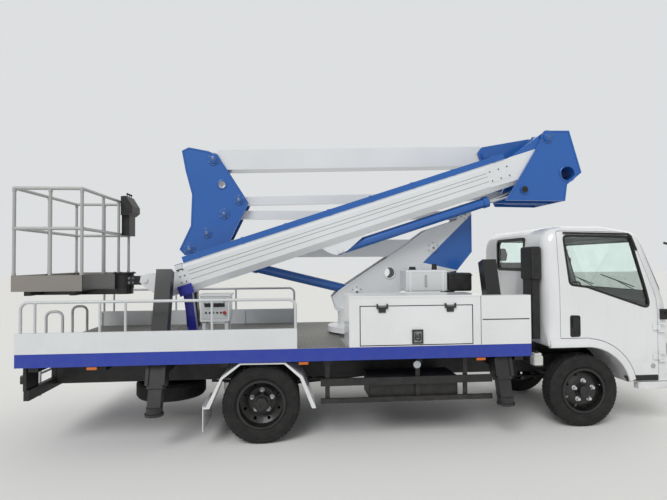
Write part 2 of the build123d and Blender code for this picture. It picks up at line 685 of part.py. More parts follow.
def ladder():
    """Steps at the tail between two upright tubes."""
    steps = Part()
    for y in LADDER_Y:
        steps += rod((DECK_REAR_X - 20, y, 420), (DECK_REAR_X - 20, y, DECK_TOP_Z - 20), HANDRAIL_RADIUS)
    for z in (440, 640, 840):
        steps += rod((DECK_REAR_X - 20, LADDER_Y[0], z), (DECK_REAR_X - 20, LADDER_Y[1], z),
                     HANDRAIL_RADIUS - 2)
    for y in LADDER_Y:
        steps += block(DECK_REAR_X - 20, DECK_REAR_X - SEAT_GAP, y - 15, y + 15, 880, 905)
    return steps


def grab_loop(y):
    """Bent tube that stands on the deck by the ladder."""
    foot = DECK_TOP_Z + SEAT_GAP
    points = [(GRAB_REAR_X, y, foot), (GRAB_REAR_X, y, GRAB_TOP_Z), (GRAB_REAR_X + GRAB_LENGTH, y, GRAB_TOP_Z),
              (GRAB_REAR_X + GRAB_LENGTH, y, foot)]
    return bent_tube(points, 60, HANDRAIL_RADIUS)


# Deck, boards, rails and cabinets

def deck():
    """Deck plate with its edge rails, the raised tread plate and the holes for the outriggers."""
    half = DECK_HALF_WIDTH
    floor = block(DECK_REAR_X, DECK_FRONT_X, -half, half, DECK_TOP_Z - DECK_PLATE, DECK_TOP_Z)
    floor += block(TREAD_REAR_X, TREAD_FRONT_X, -TREAD_HALF_WIDTH, TREAD_HALF_WIDTH,
                   DECK_TOP_Z - 1, DECK_TOP_Z + TREAD_PLATE)
    for side in (-1, 1):
        edge = side * half
        inner = side * (half - DECK_PLATE)
        lip = side * (half - DECK_RAIL_FLANGE)
        floor += block(DECK_REAR_X, DECK_FRONT_X, min(edge, inner), max(edge, inner),
                       DECK_BOTTOM_Z, DECK_TOP_Z)
        floor += block(DECK_REAR_X, DECK_FRONT_X, min(edge, lip), max(edge, lip), DECK_BOTTOM_Z,
                       DECK_BOTTOM_Z + DECK_PLATE)
    for x in (DECK_REAR_X, DECK_FRONT_X - DECK_PLATE):
        floor += block(x, x + DECK_PLATE, -half, half, DECK_BOTTOM_Z, DECK_TOP_Z)
    for x in (-1800, -1300, -620, -100, 150, 500, 1600, 2000):
        floor += block(x, x + 60, -half, half, DECK_BOTTOM_Z + SEAT_GAP, DECK_TOP_Z)
    for leg_x in (REAR_LEG_X, FRONT_LEG_X):
        floor -= sleeve_space(leg_x, SEAT_GAP)
        floor -= mirrored(sleeve_space(leg_x, SEAT_GAP))
    hole = TURRET_RING_RADIUS + SEAT_GAP
    floor -= Location((TURRET_X, 0, DECK_TOP_Z)) * Cylinder(hole, 300)
    return floor


def side_boards():
    """White boards along the rear of the deck."""
    base = DECK_TOP_Z + SEAT_GAP
    board = block(DECK_REAR_X, BOARD_FRONT_X, DECK_HALF_WIDTH - BOARD_THICKNESS, DECK_HALF_WIDTH,
                  base, BOARD_TOP_Z)
    for x in (DECK_REAR_X, -1600, -980, -360, BOARD_FRONT_X - 30):
        board += block(x, x + 30, DECK_HALF_WIDTH - BOARD_THICKNESS - 20, DECK_HALF_WIDTH - BOARD_THICKNESS,
                       base, BOARD_TOP_Z - 10)
    return [board, mirrored(board)]


def handrails():
    """Tube rails above the side boards, bent down at the front, with their posts."""
    foot = BOARD_TOP_Z + SEAT_GAP
    rear = DECK_REAR_X + 45
    front = BOARD_FRONT_X - HANDRAIL_RADIUS
    y = DECK_HALF_WIDTH - BOARD_THICKNESS / 2
    rail = bent_tube([(rear, y, foot), (rear, y, HANDRAIL_TOP_Z), (front, y, HANDRAIL_TOP_Z), (front, y, foot)],
                     70, HANDRAIL_RADIUS)
    for x in (-2049, -1476, -1246, -455):
        rail += rod((x, y, foot), (x, y, HANDRAIL_TOP_Z), HANDRAIL_RADIUS - 2)
    return [rail, mirrored(rail)]


def cabinet():
    """Hollow cabinet along the right edge, with a door opening and a front skirt."""
    out = -DECK_HALF_WIDTH
    back = out + CABINET_DEPTH
    base = DECK_TOP_Z + SEAT_GAP
    wall = CABINET_WALL
    shell = block(CABINET_REAR_X, CABINET_STEP_X, out, back, base, CABINET_TOP_Z)
    shell -= block(CABINET_REAR_X + wall, CABINET_STEP_X - wall, out + LID_THICKNESS + 8, back - wall,
                   base + wall, CABINET_TOP_Z - wall)
    shell -= block(CABINET_DOOR_REAR_X, CABINET_DOOR_FRONT_X, out - 1, out + LID_THICKNESS + 9,
                   CABINET_DOOR_BOTTOM_Z, CABINET_DOOR_TOP_Z)
    y, z = LID_AXIS_Y, LID_AXIS_Z
    for x in LID_HINGES_X:
        shell += pin_x(x - 56, x + 56, y, z, LID_PIN_RADIUS - RUNNING_FIT)
        for ear_x in (x - 56, x + 42):
            shell += block(ear_x, ear_x + 14, y - 9, y + 9, z - 6, z + 23)
            shell += block(ear_x, ear_x + 14, y - 9, out + 1, z + 20, z + 40)
    skirt_top = CABINET_TOP_Z - 9
    shell += block(CABINET_STEP_X, DECK_FRONT_X, out, out + wall, base, skirt_top)
    shell += block(CABINET_STEP_X, DECK_FRONT_X, out, out + 110, skirt_top - wall, skirt_top)
    shell += block(DECK_FRONT_X - wall, DECK_FRONT_X, out, out + 110, base, skirt_top)
    return shell


def cabinet_lid():
    """Cabinet door, hinged along its top edge, with its latch."""
    out = -DECK_HALF_WIDTH
    gap = LID_GAP
    top = CABINET_DOOR_TOP_Z - gap
    lid = block(CABINET_DOOR_REAR_X + gap, CABINET_DOOR_FRONT_X - gap, out, out + LID_THICKNESS,
                CABINET_DOOR_BOTTOM_Z + gap, top)
    middle = CABINET_DOOR_REAR_X + 565
    lid += block(middle - 55, middle + 55, out - 14, out,
                 CABINET_DOOR_BOTTOM_Z + 12, CABINET_DOOR_BOTTOM_Z + 150)
    for x in LID_HINGES_X:
        lid += pin_x(x - 40, x + 40, LID_AXIS_Y, LID_AXIS_Z, 11)
        lid += block(x - 36, x + 36, out - 8, out, top - 60, top - 18)
        lid -= pin_x(x - 41, x + 41, LID_AXIS_Y, LID_AXIS_Z, LID_PIN_RADIUS)
    return lid


def pin_x(x0, x1, y, z, radius):
    """Round bar along X."""
    return rod((x0, y, z), (x1, y, z), radius)


# Cab

def front_view(inset):
    """Long bar with the cab's outline as seen from the front, drawn in by an inset."""
    half = CAB_HALF_WIDTH - inset
    top_half = half - CAB_LEAN_INSET
    points = [(-half, 300), (half, 300), (half, CAB_LEAN_Z), (top_half, CAB_ROOF_Z + 40),
              (-top_half, CAB_ROOF_Z + 40), (-half, CAB_LEAN_Z)]
    return bar_x(points, CAB_REAR_X - 100, CAB_FRONT_X + 100)


def cab_side(inset):
    """Cab outline as seen from the side, drawn in by an inset."""
    floor = CAB_UNDER_Z
    points = [(CAB_REAR_X, floor), (CAB_REAR_X, CAB_ROOF_Z - 70), (CAB_REAR_X + 60, CAB_ROOF_Z),
              (WHEELBASE + 290, CAB_ROOF_Z), (WHEELBASE + 615, CAB_ROOF_Z - 56),
              (WHEELBASE + 690, CAB_ROOF_Z - 110), (WHEELBASE + 930, 1330),
              (CAB_FRONT_X, 1150), (CAB_FRONT_X, SILL_Z), (WHEELBASE + 430, SILL_Z), (WHEELBASE + 40, floor)]
    outline = make_face(Polyline(*points, close=True))
    if inset > 0:
        outline = offset(outline, amount=-inset, kind=Kind.INTERSECTION)
    side = Plane(origin=(0, -1000, 0), x_dir=(1, 0, 0), z_dir=(0, -1, 0))
    return extrude(side * outline, amount=2000, dir=(0, 1, 0))


def cab_form(inset):
    """Solid form of the cab, drawn in by an inset, over its tunnel and wheel arches."""
    form = cab_side(inset) & front_view(inset)
    floor = CAB_UNDER_Z
    form -= block(CAB_REAR_X - 50, CAB_FRONT_X - 76 + inset, -400 - inset, 400 + inset, 300, floor + inset)
    form -= pin(WHEELBASE, TYRE_RADIUS, ARCH_RADIUS + inset, -1000, 1000)
    return form


def door_outline(grow):
    """Prism of the door's outline on the left side, grown all round."""
    points = [(DOOR_REAR_X, CAB_FLOOR_Z + 37), (DOOR_REAR_X, DOOR_TOP_Z), (WHEELBASE + 540, DOOR_TOP_Z - 16),
              (DOOR_FRONT_X - 12, 1345), (DOOR_FRONT_X, 1200), (DOOR_FRONT_X, SILL_Z + 10),
              (WHEELBASE + 340, SILL_Z + 10), (WHEELBASE + 40, CAB_FLOOR_Z + 37)]
    outline = make_face(Polyline(*points, close=True))
    if grow > 0:
        outline = offset(outline, amount=grow, kind=Kind.INTERSECTION)
    side = Plane(origin=(0, 600, 0), x_dir=(1, 0, 0), z_dir=(0, -1, 0))
    prism = extrude(side * outline, amount=400, dir=(0, 1, 0))
    return prism - pin(WHEELBASE, TYRE_RADIUS, ARCH_RADIUS + ARCH_LIP + 14 - grow, 500, 1100)


def side_window(inset):
    """Prism of the door window, drawn in by an inset."""
    points = [(WHEELBASE - 208, 2010), (WHEELBASE - 166, 1498), (WHEELBASE + 17, 1473),
              (WHEELBASE + 715, 1235), (WHEELBASE + 533, 1998)]
    outline = fillet(make_face(Polyline(*points, close=True)).vertices(), 40)
    if inset > 0:
        outline = offset(outline, amount=-inset)
    side = Plane(origin=(0, 600, 0), x_dir=(1, 0, 0), z_dir=(0, -1, 0))
    return extrude(side * outline, amount=400, dir=(0, 1, 0))


def windscreen_hole(inset):
    """Prism of the windscreen, along X, drawn in by an inset."""
    points = [(-755 + inset, 1395 + inset), (755 - inset, 1395 + inset),
              (700 - inset, 1965 - inset), (-700 + inset, 1965 - inset)]
    return bar_x(points, WHEELBASE + 490, CAB_FRONT_X + 50, 50)


def rear_window_hole(inset):
    """Prism of the rear window, along X, drawn in by an inset."""
    points = [(-345 + inset, 1655 + inset), (345 - inset, 1655 + inset),
              (345 - inset, 1990 - inset), (-345 + inset, 1990 - inset)]
    return bar_x(points, CAB_REAR_X - 50, CAB_REAR_X + 80, 40)


def arch_lip():
    """Flare along the left wheel arch, level behind the wheel and round in front of it."""
    low_y = CAB_HALF_WIDTH - 20
    ring = pin(WHEELBASE, TYRE_RADIUS, ARCH_RADIUS + ARCH_LIP, low_y, CAB_HALF_WIDTH + ARCH_LIP_PROUD)
    ring -= pin(WHEELBASE, TYRE_RADIUS, ARCH_RADIUS, low_y - 1, CAB_HALF_WIDTH + ARCH_LIP_PROUD + 1)
    ring &= block(WHEELBASE, CAB_FRONT_X, low_y, 900, SILL_Z, 1200)
    ring += block(CAB_REAR_X, WHEELBASE, low_y, CAB_HALF_WIDTH + ARCH_LIP_PROUD,
                  TYRE_RADIUS + ARCH_RADIUS, TYRE_RADIUS + ARCH_RADIUS + ARCH_LIP)
    return ring


def cab_shell():
    """Hollow cab with its window and door openings and the arch flares."""
    shell = cab_form(0) - cab_form(CAB_WALL)
    opening = door_outline(DOOR_GAP) - front_view(CAB_WALL)
    lip = arch_lip()
    shell = shell - opening - mirrored(opening)
    shell = shell + lip + mirrored(lip)
    shell = shell - windscreen_hole(0) - rear_window_hole(0)
    hinges = Part()
    for z in DOOR_HINGES_Z:
        hinges += Location((DOOR_AXIS_X, DOOR_AXIS_Y, z - 20)) * Cylinder(
            DOOR_PIN_RADIUS - RUNNING_FIT, 100, align=UPRIGHT)
        for low in (z - 20, z + 62):
            hinges += block(DOOR_AXIS_X - 10, WHEELBASE + 860, DOOR_AXIS_Y - 10, DOOR_AXIS_Y + 10,
                            low, low + 18)
            hinges += block(WHEELBASE + 806, WHEELBASE + 860, CAB_HALF_WIDTH - 8, DOOR_AXIS_Y + 10,
                            low, low + 18)
    return shell + hinges + mirrored(hinges)


def cab_door(side):
    """Door cut from the cab's own wall, with its window opening and handle."""
    door = (cab_form(0) & door_outline(0)) - front_view(CAB_WALL)
    door -= side_window(0)
    handle = block(WHEELBASE - 195, WHEELBASE - 70, CAB_HALF_WIDTH, CAB_HALF_WIDTH + 16, 1085, 1125)
    door += handle
    for z in DOOR_HINGES_Z:
        door += block(DOOR_FRONT_X - 60, DOOR_AXIS_X, CAB_HALF_WIDTH - 2, CAB_HALF_WIDTH + 14, z, z + 60)
        door += Location((DOOR_AXIS_X, DOOR_AXIS_Y, z)) * Cylinder(13, 60, align=UPRIGHT)
        door -= Location((DOOR_AXIS_X, DOOR_AXIS_Y, z - 10)) * Cylinder(DOOR_PIN_RADIUS, 80, align=UPRIGHT)
    return door if side > 0 else mirrored(door)


def door_glass(side):
    """Window of a door, set in the middle of its wall."""
    middle = CAB_WALL / 2
    pane = front_view(middle - GLASS_THICKNESS / 2) - front_view(middle + GLASS_THICKNESS / 2)
    pane = pane & side_window(SEAT_GAP)
    return pane if side > 0 else mirrored(pane)


def cab_glass():
    """Windscreen and rear window."""
    lean = slope_of(WHEELBASE + 690, CAB_ROOF_Z - 110, WHEELBASE + 930, 1330)
    step = Vector(-math.sin(math.radians(-lean)), 0, -math.cos(math.radians(-lean)))
    points = []
    for x, z in ((WHEELBASE + 930, 1330), (WHEELBASE + 690, CAB_ROOF_Z - 110)):
        points.append((x + step.X * 14, z + step.Z * 14))
    for x, z in ((WHEELBASE + 690, CAB_ROOF_Z - 110), (WHEELBASE + 930, 1330)):
        points.append((x + step.X * (14 + GLASS_THICKNESS), z + step.Z * (14 + GLASS_THICKNESS)))
    screen = plate(points, -900, 900) & windscreen_hole(SEAT_GAP)
    rear = block(CAB_REAR_X + 16, CAB_REAR_X + 16 + GLASS_THICKNESS, -500, 500, 1500, 2100)
    return [screen, rear & rear_window_hole(SEAT_GAP)]


def cab_interior():
    """Dashboard, seat bases and steering column."""
    wall = CAB_FRONT_X - CAB_WALL - SEAT_GAP
    half = CAB_HALF_WIDTH - CAB_WALL - 12
    dash = plate([(WHEELBASE + 670, 1080), (WHEELBASE + 690, 1260), (WHEELBASE + 790, 1300),
                  (wall - 50, 1290), (wall, 1120), (wall, 1000), (WHEELBASE + 780, 980)], -half, half)
    floor = CAB_FLOOR_Z - 17 + SEAT_GAP
    for y0, y1 in SEAT_PLACES:
        dash_leg = block(WHEELBASE - 280, WHEELBASE + 100, y0 + 40, y1 - 40, floor, SEAT_BASE_Z)
        dash = dash + dash_leg
    dash += rod(COLUMN_FOOT, COLUMN_TOP, 32)
    return dash


def steering_wheel():
    """Rim, spokes and boss of the steering wheel, on the end of its column."""
    along_column = (Vector(*COLUMN_TOP) - Vector(*COLUMN_FOOT)).normalized()
    place = Plane(origin=Vector(*COLUMN_TOP) + along_column * (20 + SEAT_GAP), z_dir=along_column)
    wheel = Torus(200, 14) + Cylinder(42, 40)
    for turn in (90, 210, 330):
        wheel += Rot(0, 0, turn) * block(30, 196, -14, 14, -6, 6)
    return place * wheel


def seats():
    """Cushions and backs of the driver's and the passengers' seats."""
    parts = []
    for y0, y1 in SEAT_PLACES:
        cushion = block(WHEELBASE - 250, WHEELBASE + 200, y0, y1, SEAT_BASE_Z + SEAT_GAP, SEAT_BASE_Z + 130)
        back = Rot(0, -8, 0) * block(-48, 48, y0, y1, -10, 620)
        back = Location((WHEELBASE - 230, 0, SEAT_BASE_Z + 110)) * back
        parts.append(fillet(cushion.edges(), 28) + fillet(back.edges(), 28))
    return parts


def grille():
    """Slatted grille on the cab's front."""
    x = CAB_FRONT_X + SEAT_GAP
    frame = block(x, x + 16, -420, 420, 860, 1020)
    for step in range(3):
        z = 880 + 46 * step
        frame -= block(x - 1, x + 17, -395, 395, z, z + 28)
    return frame


def front_bumper():
    """Bumper across the front, wrapping under the cab to the wheel arches."""
    x = CAB_FRONT_X + SEAT_GAP
    front = CAB_FRONT_X + BUMPER_PROUD
    bumper = block(x, front, -CAB_HALF_WIDTH, CAB_HALF_WIDTH, 392, 690)
    bumper += block(FRAME_FRONT_X + SEAT_GAP, front, -CAB_HALF_WIDTH, CAB_HALF_WIDTH, 392, SILL_Z - SEAT_GAP)
    for side in (-1, 1):
        near = side * (CAB_HALF_WIDTH - 190)
        far = side * CAB_HALF_WIDTH
        bumper += block(WHEELBASE + 475, FRAME_FRONT_X + 5, min(near, far), max(near, far),
                        392, SILL_Z - SEAT_GAP)
        bumper += block(FRAME_FRONT_X + SEAT_GAP, WHEELBASE + 880, side * 330 - 15, side * 330 + 15, 440, 620)
    return bumper


def headlamps():
    """Pair of lamp units on the cab's front above the bumper."""
    x = CAB_FRONT_X + SEAT_GAP
    lamp = block(x, x + 34, 500, 815, 710, 850)
    lamp = fillet(lamp.edges().filter_by(Axis.X), 30)
    return [lamp, mirrored(lamp)]


def mirrors():
    """Door mirrors on bent arms, one each side."""
    y = CAB_HALF_WIDTH + SEAT_GAP
    foot = block(WHEELBASE + 818, WHEELBASE + 902, y, y + 22, 1120, 1230)
    arm = bent_tube([(WHEELBASE + 860, y + 15, 1180), (WHEELBASE + 902, 985, 1230),
                     (WHEELBASE + 902, 985, 1890), (WHEELBASE + 830, y + 60, 1930)], 40, 12)
    head = block(WHEELBASE + 865, WHEELBASE + 925, 905, 1075, 1370, 1790)
    head = fillet(head.edges(), 22)
    mirror_set = foot + arm + head
    return [mirror_set, mirrored(mirror_set)]


def mudguards():
    """Bent sheet guards over the rear wheels with their flaps."""
    outer = [(-521, 373), (-378, 661), (-199, 794), (234, 790), (400, 654), (527, 349)]
    inner = [(527 - 40, 349), (372, 640), (222, 776), (-188, 779), (-362, 645), (-480, 373)]
    y0 = REAR_TRACK / 2 - DUAL_SPACING / 2 - TYRE_WIDTH / 2
    guard = plate(outer + inner, y0, DECK_HALF_WIDTH - 15)
    for x in (-90, 160):
        guard += block(x, x + 40, y0 + 60, y0 + 120, 780, DECK_BOTTOM_Z - SEAT_GAP)
    flap = block(-545, -537, y0, DECK_HALF_WIDTH - 15, 160, 400)
    flap += block(-540, -505, y0, DECK_HALF_WIDTH - 15, 372, 390)
    guard += flap
    return [guard, mirrored(guard)]


def air_intake():
    """Raised intake with its cap, on a duct behind the cab that stands on the deck's front edge."""
    x = CAB_REAR_X - 70
    y = INTAKE_Y
    foot_z = DECK_TOP_Z + SEAT_GAP
    duct = block(x - 45, x + 45, y - 105, y + 105, foot_z, 1560)
    duct = fillet(duct.edges().filter_by(Axis.Z), 20)
    cap = block(x - 58, x + 58, y - 130, y + 130, 1545, 1900)
    cap = fillet(cap.edges(), 26)
    return duct + cap + block(DECK_FRONT_X - 40, x + 30, y - 90, y + 90, foot_z, DECK_TOP_Z + 60)


# Turret and folding arms

def turret_base():
    """Slewing ring on the subframe, seen in the deck's round hole."""
    ring = Location((TURRET_X, 0, DECK_BOTTOM_Z + SEAT_GAP)) * Cylinder(
        TURRET_RING_RADIUS - 30, TURRET_RING_TOP_Z - 30 - DECK_BOTTOM_Z, align=UPRIGHT)
    flange = Cylinder(TURRET_RING_RADIUS + 60, 60, align=UPRIGHT)
    flange = Location((TURRET_X, 0, TURRET_RING_TOP_Z - 60)) * flange
    return ring + flange


def tower():
    """Turret drum and the two leaning cheeks that carry the first arm."""
    base = TURRET_RING_TOP_Z + SEAT_GAP
    drum = Cylinder(TURRET_DRUM_RADIUS, TURRET_DRUM_TOP_Z - base, align=UPRIGHT)
    drum = Location((TURRET_X, 0, base)) * drum
    low = TURRET_DRUM_TOP_Z
    body = drum + block(TURRET_X - 270, TURRET_X + 330, CHEEK_OUT_LOW, CHEEK_OUT_HIGH, low - 30, low)
    outline = [(TURRET_X - 270, low - 1), (TURRET_X - 311, 1342), (TURRET_X - 240, 1420), (1710, 1990),
               (1899, 2124), (2255, 2237), (2300, 2420), (2433, 2400), (2433, 2290), (2432, 1859),
               (2247, 1637), (1814, 1560), (TURRET_X + 336, 1300), (TURRET_X + 330, low - 1)]
    for y0, y1 in ((CHEEK_OUT_LOW, CHEEK_IN_LOW), (CHEEK_IN_HIGH, CHEEK_OUT_HIGH)):
        cheek = plate(outline, y0, y1)
        cheek -= pin(1438, 1620, 60, y0 - 1, y1 + 1)
        body += cheek
    body += plate([(1814, 1575), (TURRET_X + 336, 1315), (TURRET_X + 330, low - 1), (TURRET_X + 315, low - 1),
                   (TURRET_X + 318, 1325), (1806, 1590)], CHEEK_OUT_LOW, CHEEK_OUT_HIGH)
    body += plate([(2247, 1652), (2417, 1864), (2417, 2240), (2432, 2240), (2432, 1859), (2247, 1637)],
                  CHEEK_OUT_LOW, CHEEK_OUT_HIGH)
    for x, z, radius in ((TOWER_ARM_X, TOWER_ARM_Z, PIN_RADIUS), (ROD_1_X, ROD_1_Z, PIN_RADIUS - 8),
                         (LIFT_FOOT_X, LIFT_FOOT_Z, LIFT_ROD_RADIUS)):
        body += pin(x, z, radius - RUNNING_FIT, CHEEK_OUT_LOW - PIN_PROUD, CHEEK_OUT_HIGH + PIN_PROUD)
        body += pin(x, z, radius + 14, CHEEK_OUT_LOW - PIN_PROUD + 6, CHEEK_OUT_LOW)
        body += pin(x, z, radius + 14, CHEEK_OUT_HIGH, CHEEK_OUT_HIGH + PIN_PROUD - 6)
    return body


def arm(length, width, height, eye, bore):
    """Hollow arm along +X with a round eye at each end."""
    body = Location((eye * 0.5, 0, 0)) * box_beam(length - eye, width, height, ARM_WALL)
    for x in (0, length):
        body += pin(x, 0, eye, -width / 2, width / 2)
        body -= pin(x, 0, bore, -width, width)
    return body


def arm_1():
    """Lower arm from the tower to the rear elbow, with the lift cylinder's lugs under it."""
    body = arm(ARM_1_LENGTH, ARM_WIDTH, ARM_1_HEIGHT, 78, PIN_RADIUS)
    body = Location((ELBOW_A_X, ARM_PLANE_Y, TOWER_ARM_Z)) * body
    under = TOWER_ARM_Z - ARM_1_HEIGHT / 2
    for side in (-1, 1):
        y0 = ARM_PLANE_Y + side * (EYE_WIDTH / 2 + MOVING_GAP)
        y1 = y0 + side * 16
        lug = plate([(LIFT_EYE_X - 90, under + 4), (LIFT_EYE_X - 45, LIFT_EYE_Z - 45),
                     (LIFT_EYE_X + 45, LIFT_EYE_Z - 45), (LIFT_EYE_X + 90, under + 4)], min(y0, y1), max(y0, y1))
        body += lug
    return body


def rod_1():
    """Tie rod of the lower arm."""
    body = arm(ARM_1_LENGTH, ROD_WIDTH, ROD_HEIGHT, 52, PIN_RADIUS - 8)
    return Location((ELBOW_A_X + ROD_1_OFFSET_X, ARM_PLANE_Y, ROD_1_Z)) * body


def elbow_a():
    """Rear elbow: two cheeks that join both arms and both tie rods."""
    outline = [(-535, 2975), (-190, 2432), (-420, 1960), (-500, 1850), (-900, 1835), (-960, 1901),
               (-835, 2169), (-822, 2522), (-893, 2791), (-935, 3020), (-860, 3060), (-640, 3020)]
    body = Part()
    for y0, y1 in ((CHEEK_OUT_LOW, CHEEK_IN_LOW), (CHEEK_IN_HIGH, CHEEK_OUT_HIGH)):
        cheek = plate(outline, y0, y1)
        cheek -= pin(-489, 2640, 40, y0 - 1, y1 + 1)
        body += cheek
    body += pin(-489, 2640, 55, CHEEK_IN_LOW - 1, CHEEK_IN_HIGH + 1) - pin(-489, 2640, 40, -500, 500)
    body += pin(-520, 2112, 34, CHEEK_IN_LOW - 1, CHEEK_IN_HIGH + 1)
    for x, z, radius in ((ELBOW_A_X, TOWER_ARM_Z, PIN_RADIUS), (ELBOW_A_X + ROD_1_OFFSET_X, ROD_1_Z, PIN_RADIUS - 8),
                         (ARM_2_X, ARM_2_Z, PIN_RADIUS), (ROD_2_X, ROD_2_Z, PIN_RADIUS - 8),
                         (ELBOW_FOOT_X, ELBOW_FOOT_Z, ELBOW_ROD_RADIUS)):
        body += pin(x, z, radius - RUNNING_FIT, CHEEK_OUT_LOW - PIN_PROUD, CHEEK_OUT_HIGH + PIN_PROUD)
        body += pin(x, z, radius + 14, CHEEK_OUT_LOW - PIN_PROUD + 6, CHEEK_OUT_LOW)
        body += pin(x, z, radius + 14, CHEEK_OUT_HIGH, CHEEK_OUT_HIGH + PIN_PROUD - 6)
    return body


def arm_2():
    """Upper arm from the rear elbow forward, with its short lever behind the pivot."""
    body = arm(ARM_2_LENGTH, ARM_WIDTH, ARM_2_HEIGHT, 86, PIN_RADIUS)
    body = on_line(ARM_2_X, ARM_PLANE_Y, ARM_2_Z, ARM_2_SLOPE) * body
    for side in (-1, 1):
        y0 = ARM_PLANE_Y + side * (EYE_WIDTH / 2 + MOVING_GAP)
        y1 = y0 + side * 16
        lever = plate([(ELBOW_EYE_X - 45, ELBOW_EYE_Z - 40), (ELBOW_EYE_X - 45, ELBOW_EYE_Z + 50),
                       (ARM_2_X - 20, ARM_2_Z + 84), (ARM_2_X - 20, ARM_2_Z - 70)], min(y0, y1), max(y0, y1))
        body += lever - pin(ARM_2_X, ARM_2_Z, PIN_RADIUS, -500, 500)
    return body


def rod_2():
    """Tie rod of the upper arm."""
    body = arm(ARM_2_LENGTH, ROD_WIDTH, ROD_HEIGHT, 52, PIN_RADIUS - 8)
    return on_line(ROD_2_X, ARM_PLANE_Y, ROD_2_Z, ARM_2_SLOPE) * body


def elbow_b():
    """Front elbow: cheeks for the upper arm on the left and for the boom on the right."""
    boom_side = [(3150, 3216), (3438, 3221), (3577, 2745), (3404, 2608), (3377, 2420), (2683, 2427),
                 (2780, 2572), (3074, 3053)]
    arm_side = [(2520, 3040), (2570, 3110), (3150, 3216), (3438, 3221), (3577, 2745), (3404, 2608),
                (3377, 2420), (2850, 2427), (2800, 2540), (2900, 2760), (2760, 2900), (2560, 2920)]
    body = Part()
    for y0, y1 in BOOM_CHEEKS:
        body += plate(boom_side, y0, y1) - pin(3413, 2731, 80, y0 - 1, y1 + 1)
    for y0, y1 in ((CHEEK_OUT_LOW, CHEEK_IN_LOW), (CHEEK_IN_HIGH, CHEEK_OUT_HIGH)):
        body += plate(arm_side, y0, y1) - pin(3413, 2731, 80, y0 - 1, y1 + 1)
    low_y = BOOM_CHEEKS[0][0]
    body += plate([(3404, 3221), (3438, 3221), (3577, 2745), (3404, 2608), (3377, 2420), (3352, 2420),
                   (3379, 2622), (3546, 2752)], low_y, CHEEK_OUT_HIGH)
    body += pin(3413, 2731, 88, low_y + 2, CHEEK_OUT_HIGH - 2) - pin(3413, 2731, 80, -900, 900)
    body += pin(3131, 2856, 40, BOOM_CHEEKS[1][0] + 1, CHEEK_OUT_LOW + 1)
    for x, z, radius in ((B_ARM_X, B_ARM_Z, PIN_RADIUS), (B_ROD_X, B_ROD_Z, PIN_RADIUS - 8)):
        body += pin(x, z, radius - RUNNING_FIT, CHEEK_OUT_LOW - PIN_PROUD, CHEEK_OUT_HIGH + PIN_PROUD)
        body += pin(x, z, radius + 14, CHEEK_OUT_LOW - PIN_PROUD + 6, CHEEK_OUT_LOW)
        body += pin(x, z, radius + 14, CHEEK_OUT_HIGH, CHEEK_OUT_HIGH + PIN_PROUD - 6)
    near = BOOM_CHEEKS[0][0]
    far = BOOM_CHEEKS[1][1]
    body += pin(BOOM_PIVOT_X, BOOM_PIVOT_Z, BOOM_PIN_RADIUS - RUNNING_FIT, near - PIN_PROUD, far + PIN_PROUD)
    body += pin(BOOM_PIVOT_X, BOOM_PIVOT_Z, PIN_RADIUS + 20, near - PIN_PROUD + 6, near)
    body += pin(B_ROD_X, B_ROD_Z, PIN_RADIUS + 10, near - PIN_PROUD + 6, near)
    return body


# Telescopic boom

def boom_place():
    """Place of the boom at rest: local +X runs from its pivot to the tip, local +Z down."""
    return Location((BOOM_PIVOT_X, BOOM_PLANE_Y, BOOM_PIVOT_Z), (0, 180 - BOOM_SLOPE, 0))


def boom_section(x0, x1, width, height, cut):
    """Solid eight-sided bar along the boom, below its pivot."""
    half = width / 2
    top = BOOM_DROP - height / 2
    low = BOOM_DROP + height / 2
    points = [(-half + cut, top), (half - cut, top), (half, top + cut), (half, low - 1.6 * cut),
              (half - cut, low), (-half + cut, low), (-half, low - 1.6 * cut), (-half, top + cut)]
    return bar_x(points, x0, x1)


def boom_room(x0, x1, width, height, wall):
    """Room inside a section of the boom."""
    return boom_section(x0, x1, width - 2 * wall, height - 2 * wall, BOOM_FACET - wall * 0.4)


def boom_tube(x0, x1, width, height, wall):
    """Hollow section of the boom, open at both ends."""
    return boom_section(x0, x1, width, height, BOOM_FACET) - boom_room(x0 - 1, x1 + 1, width, height, wall)


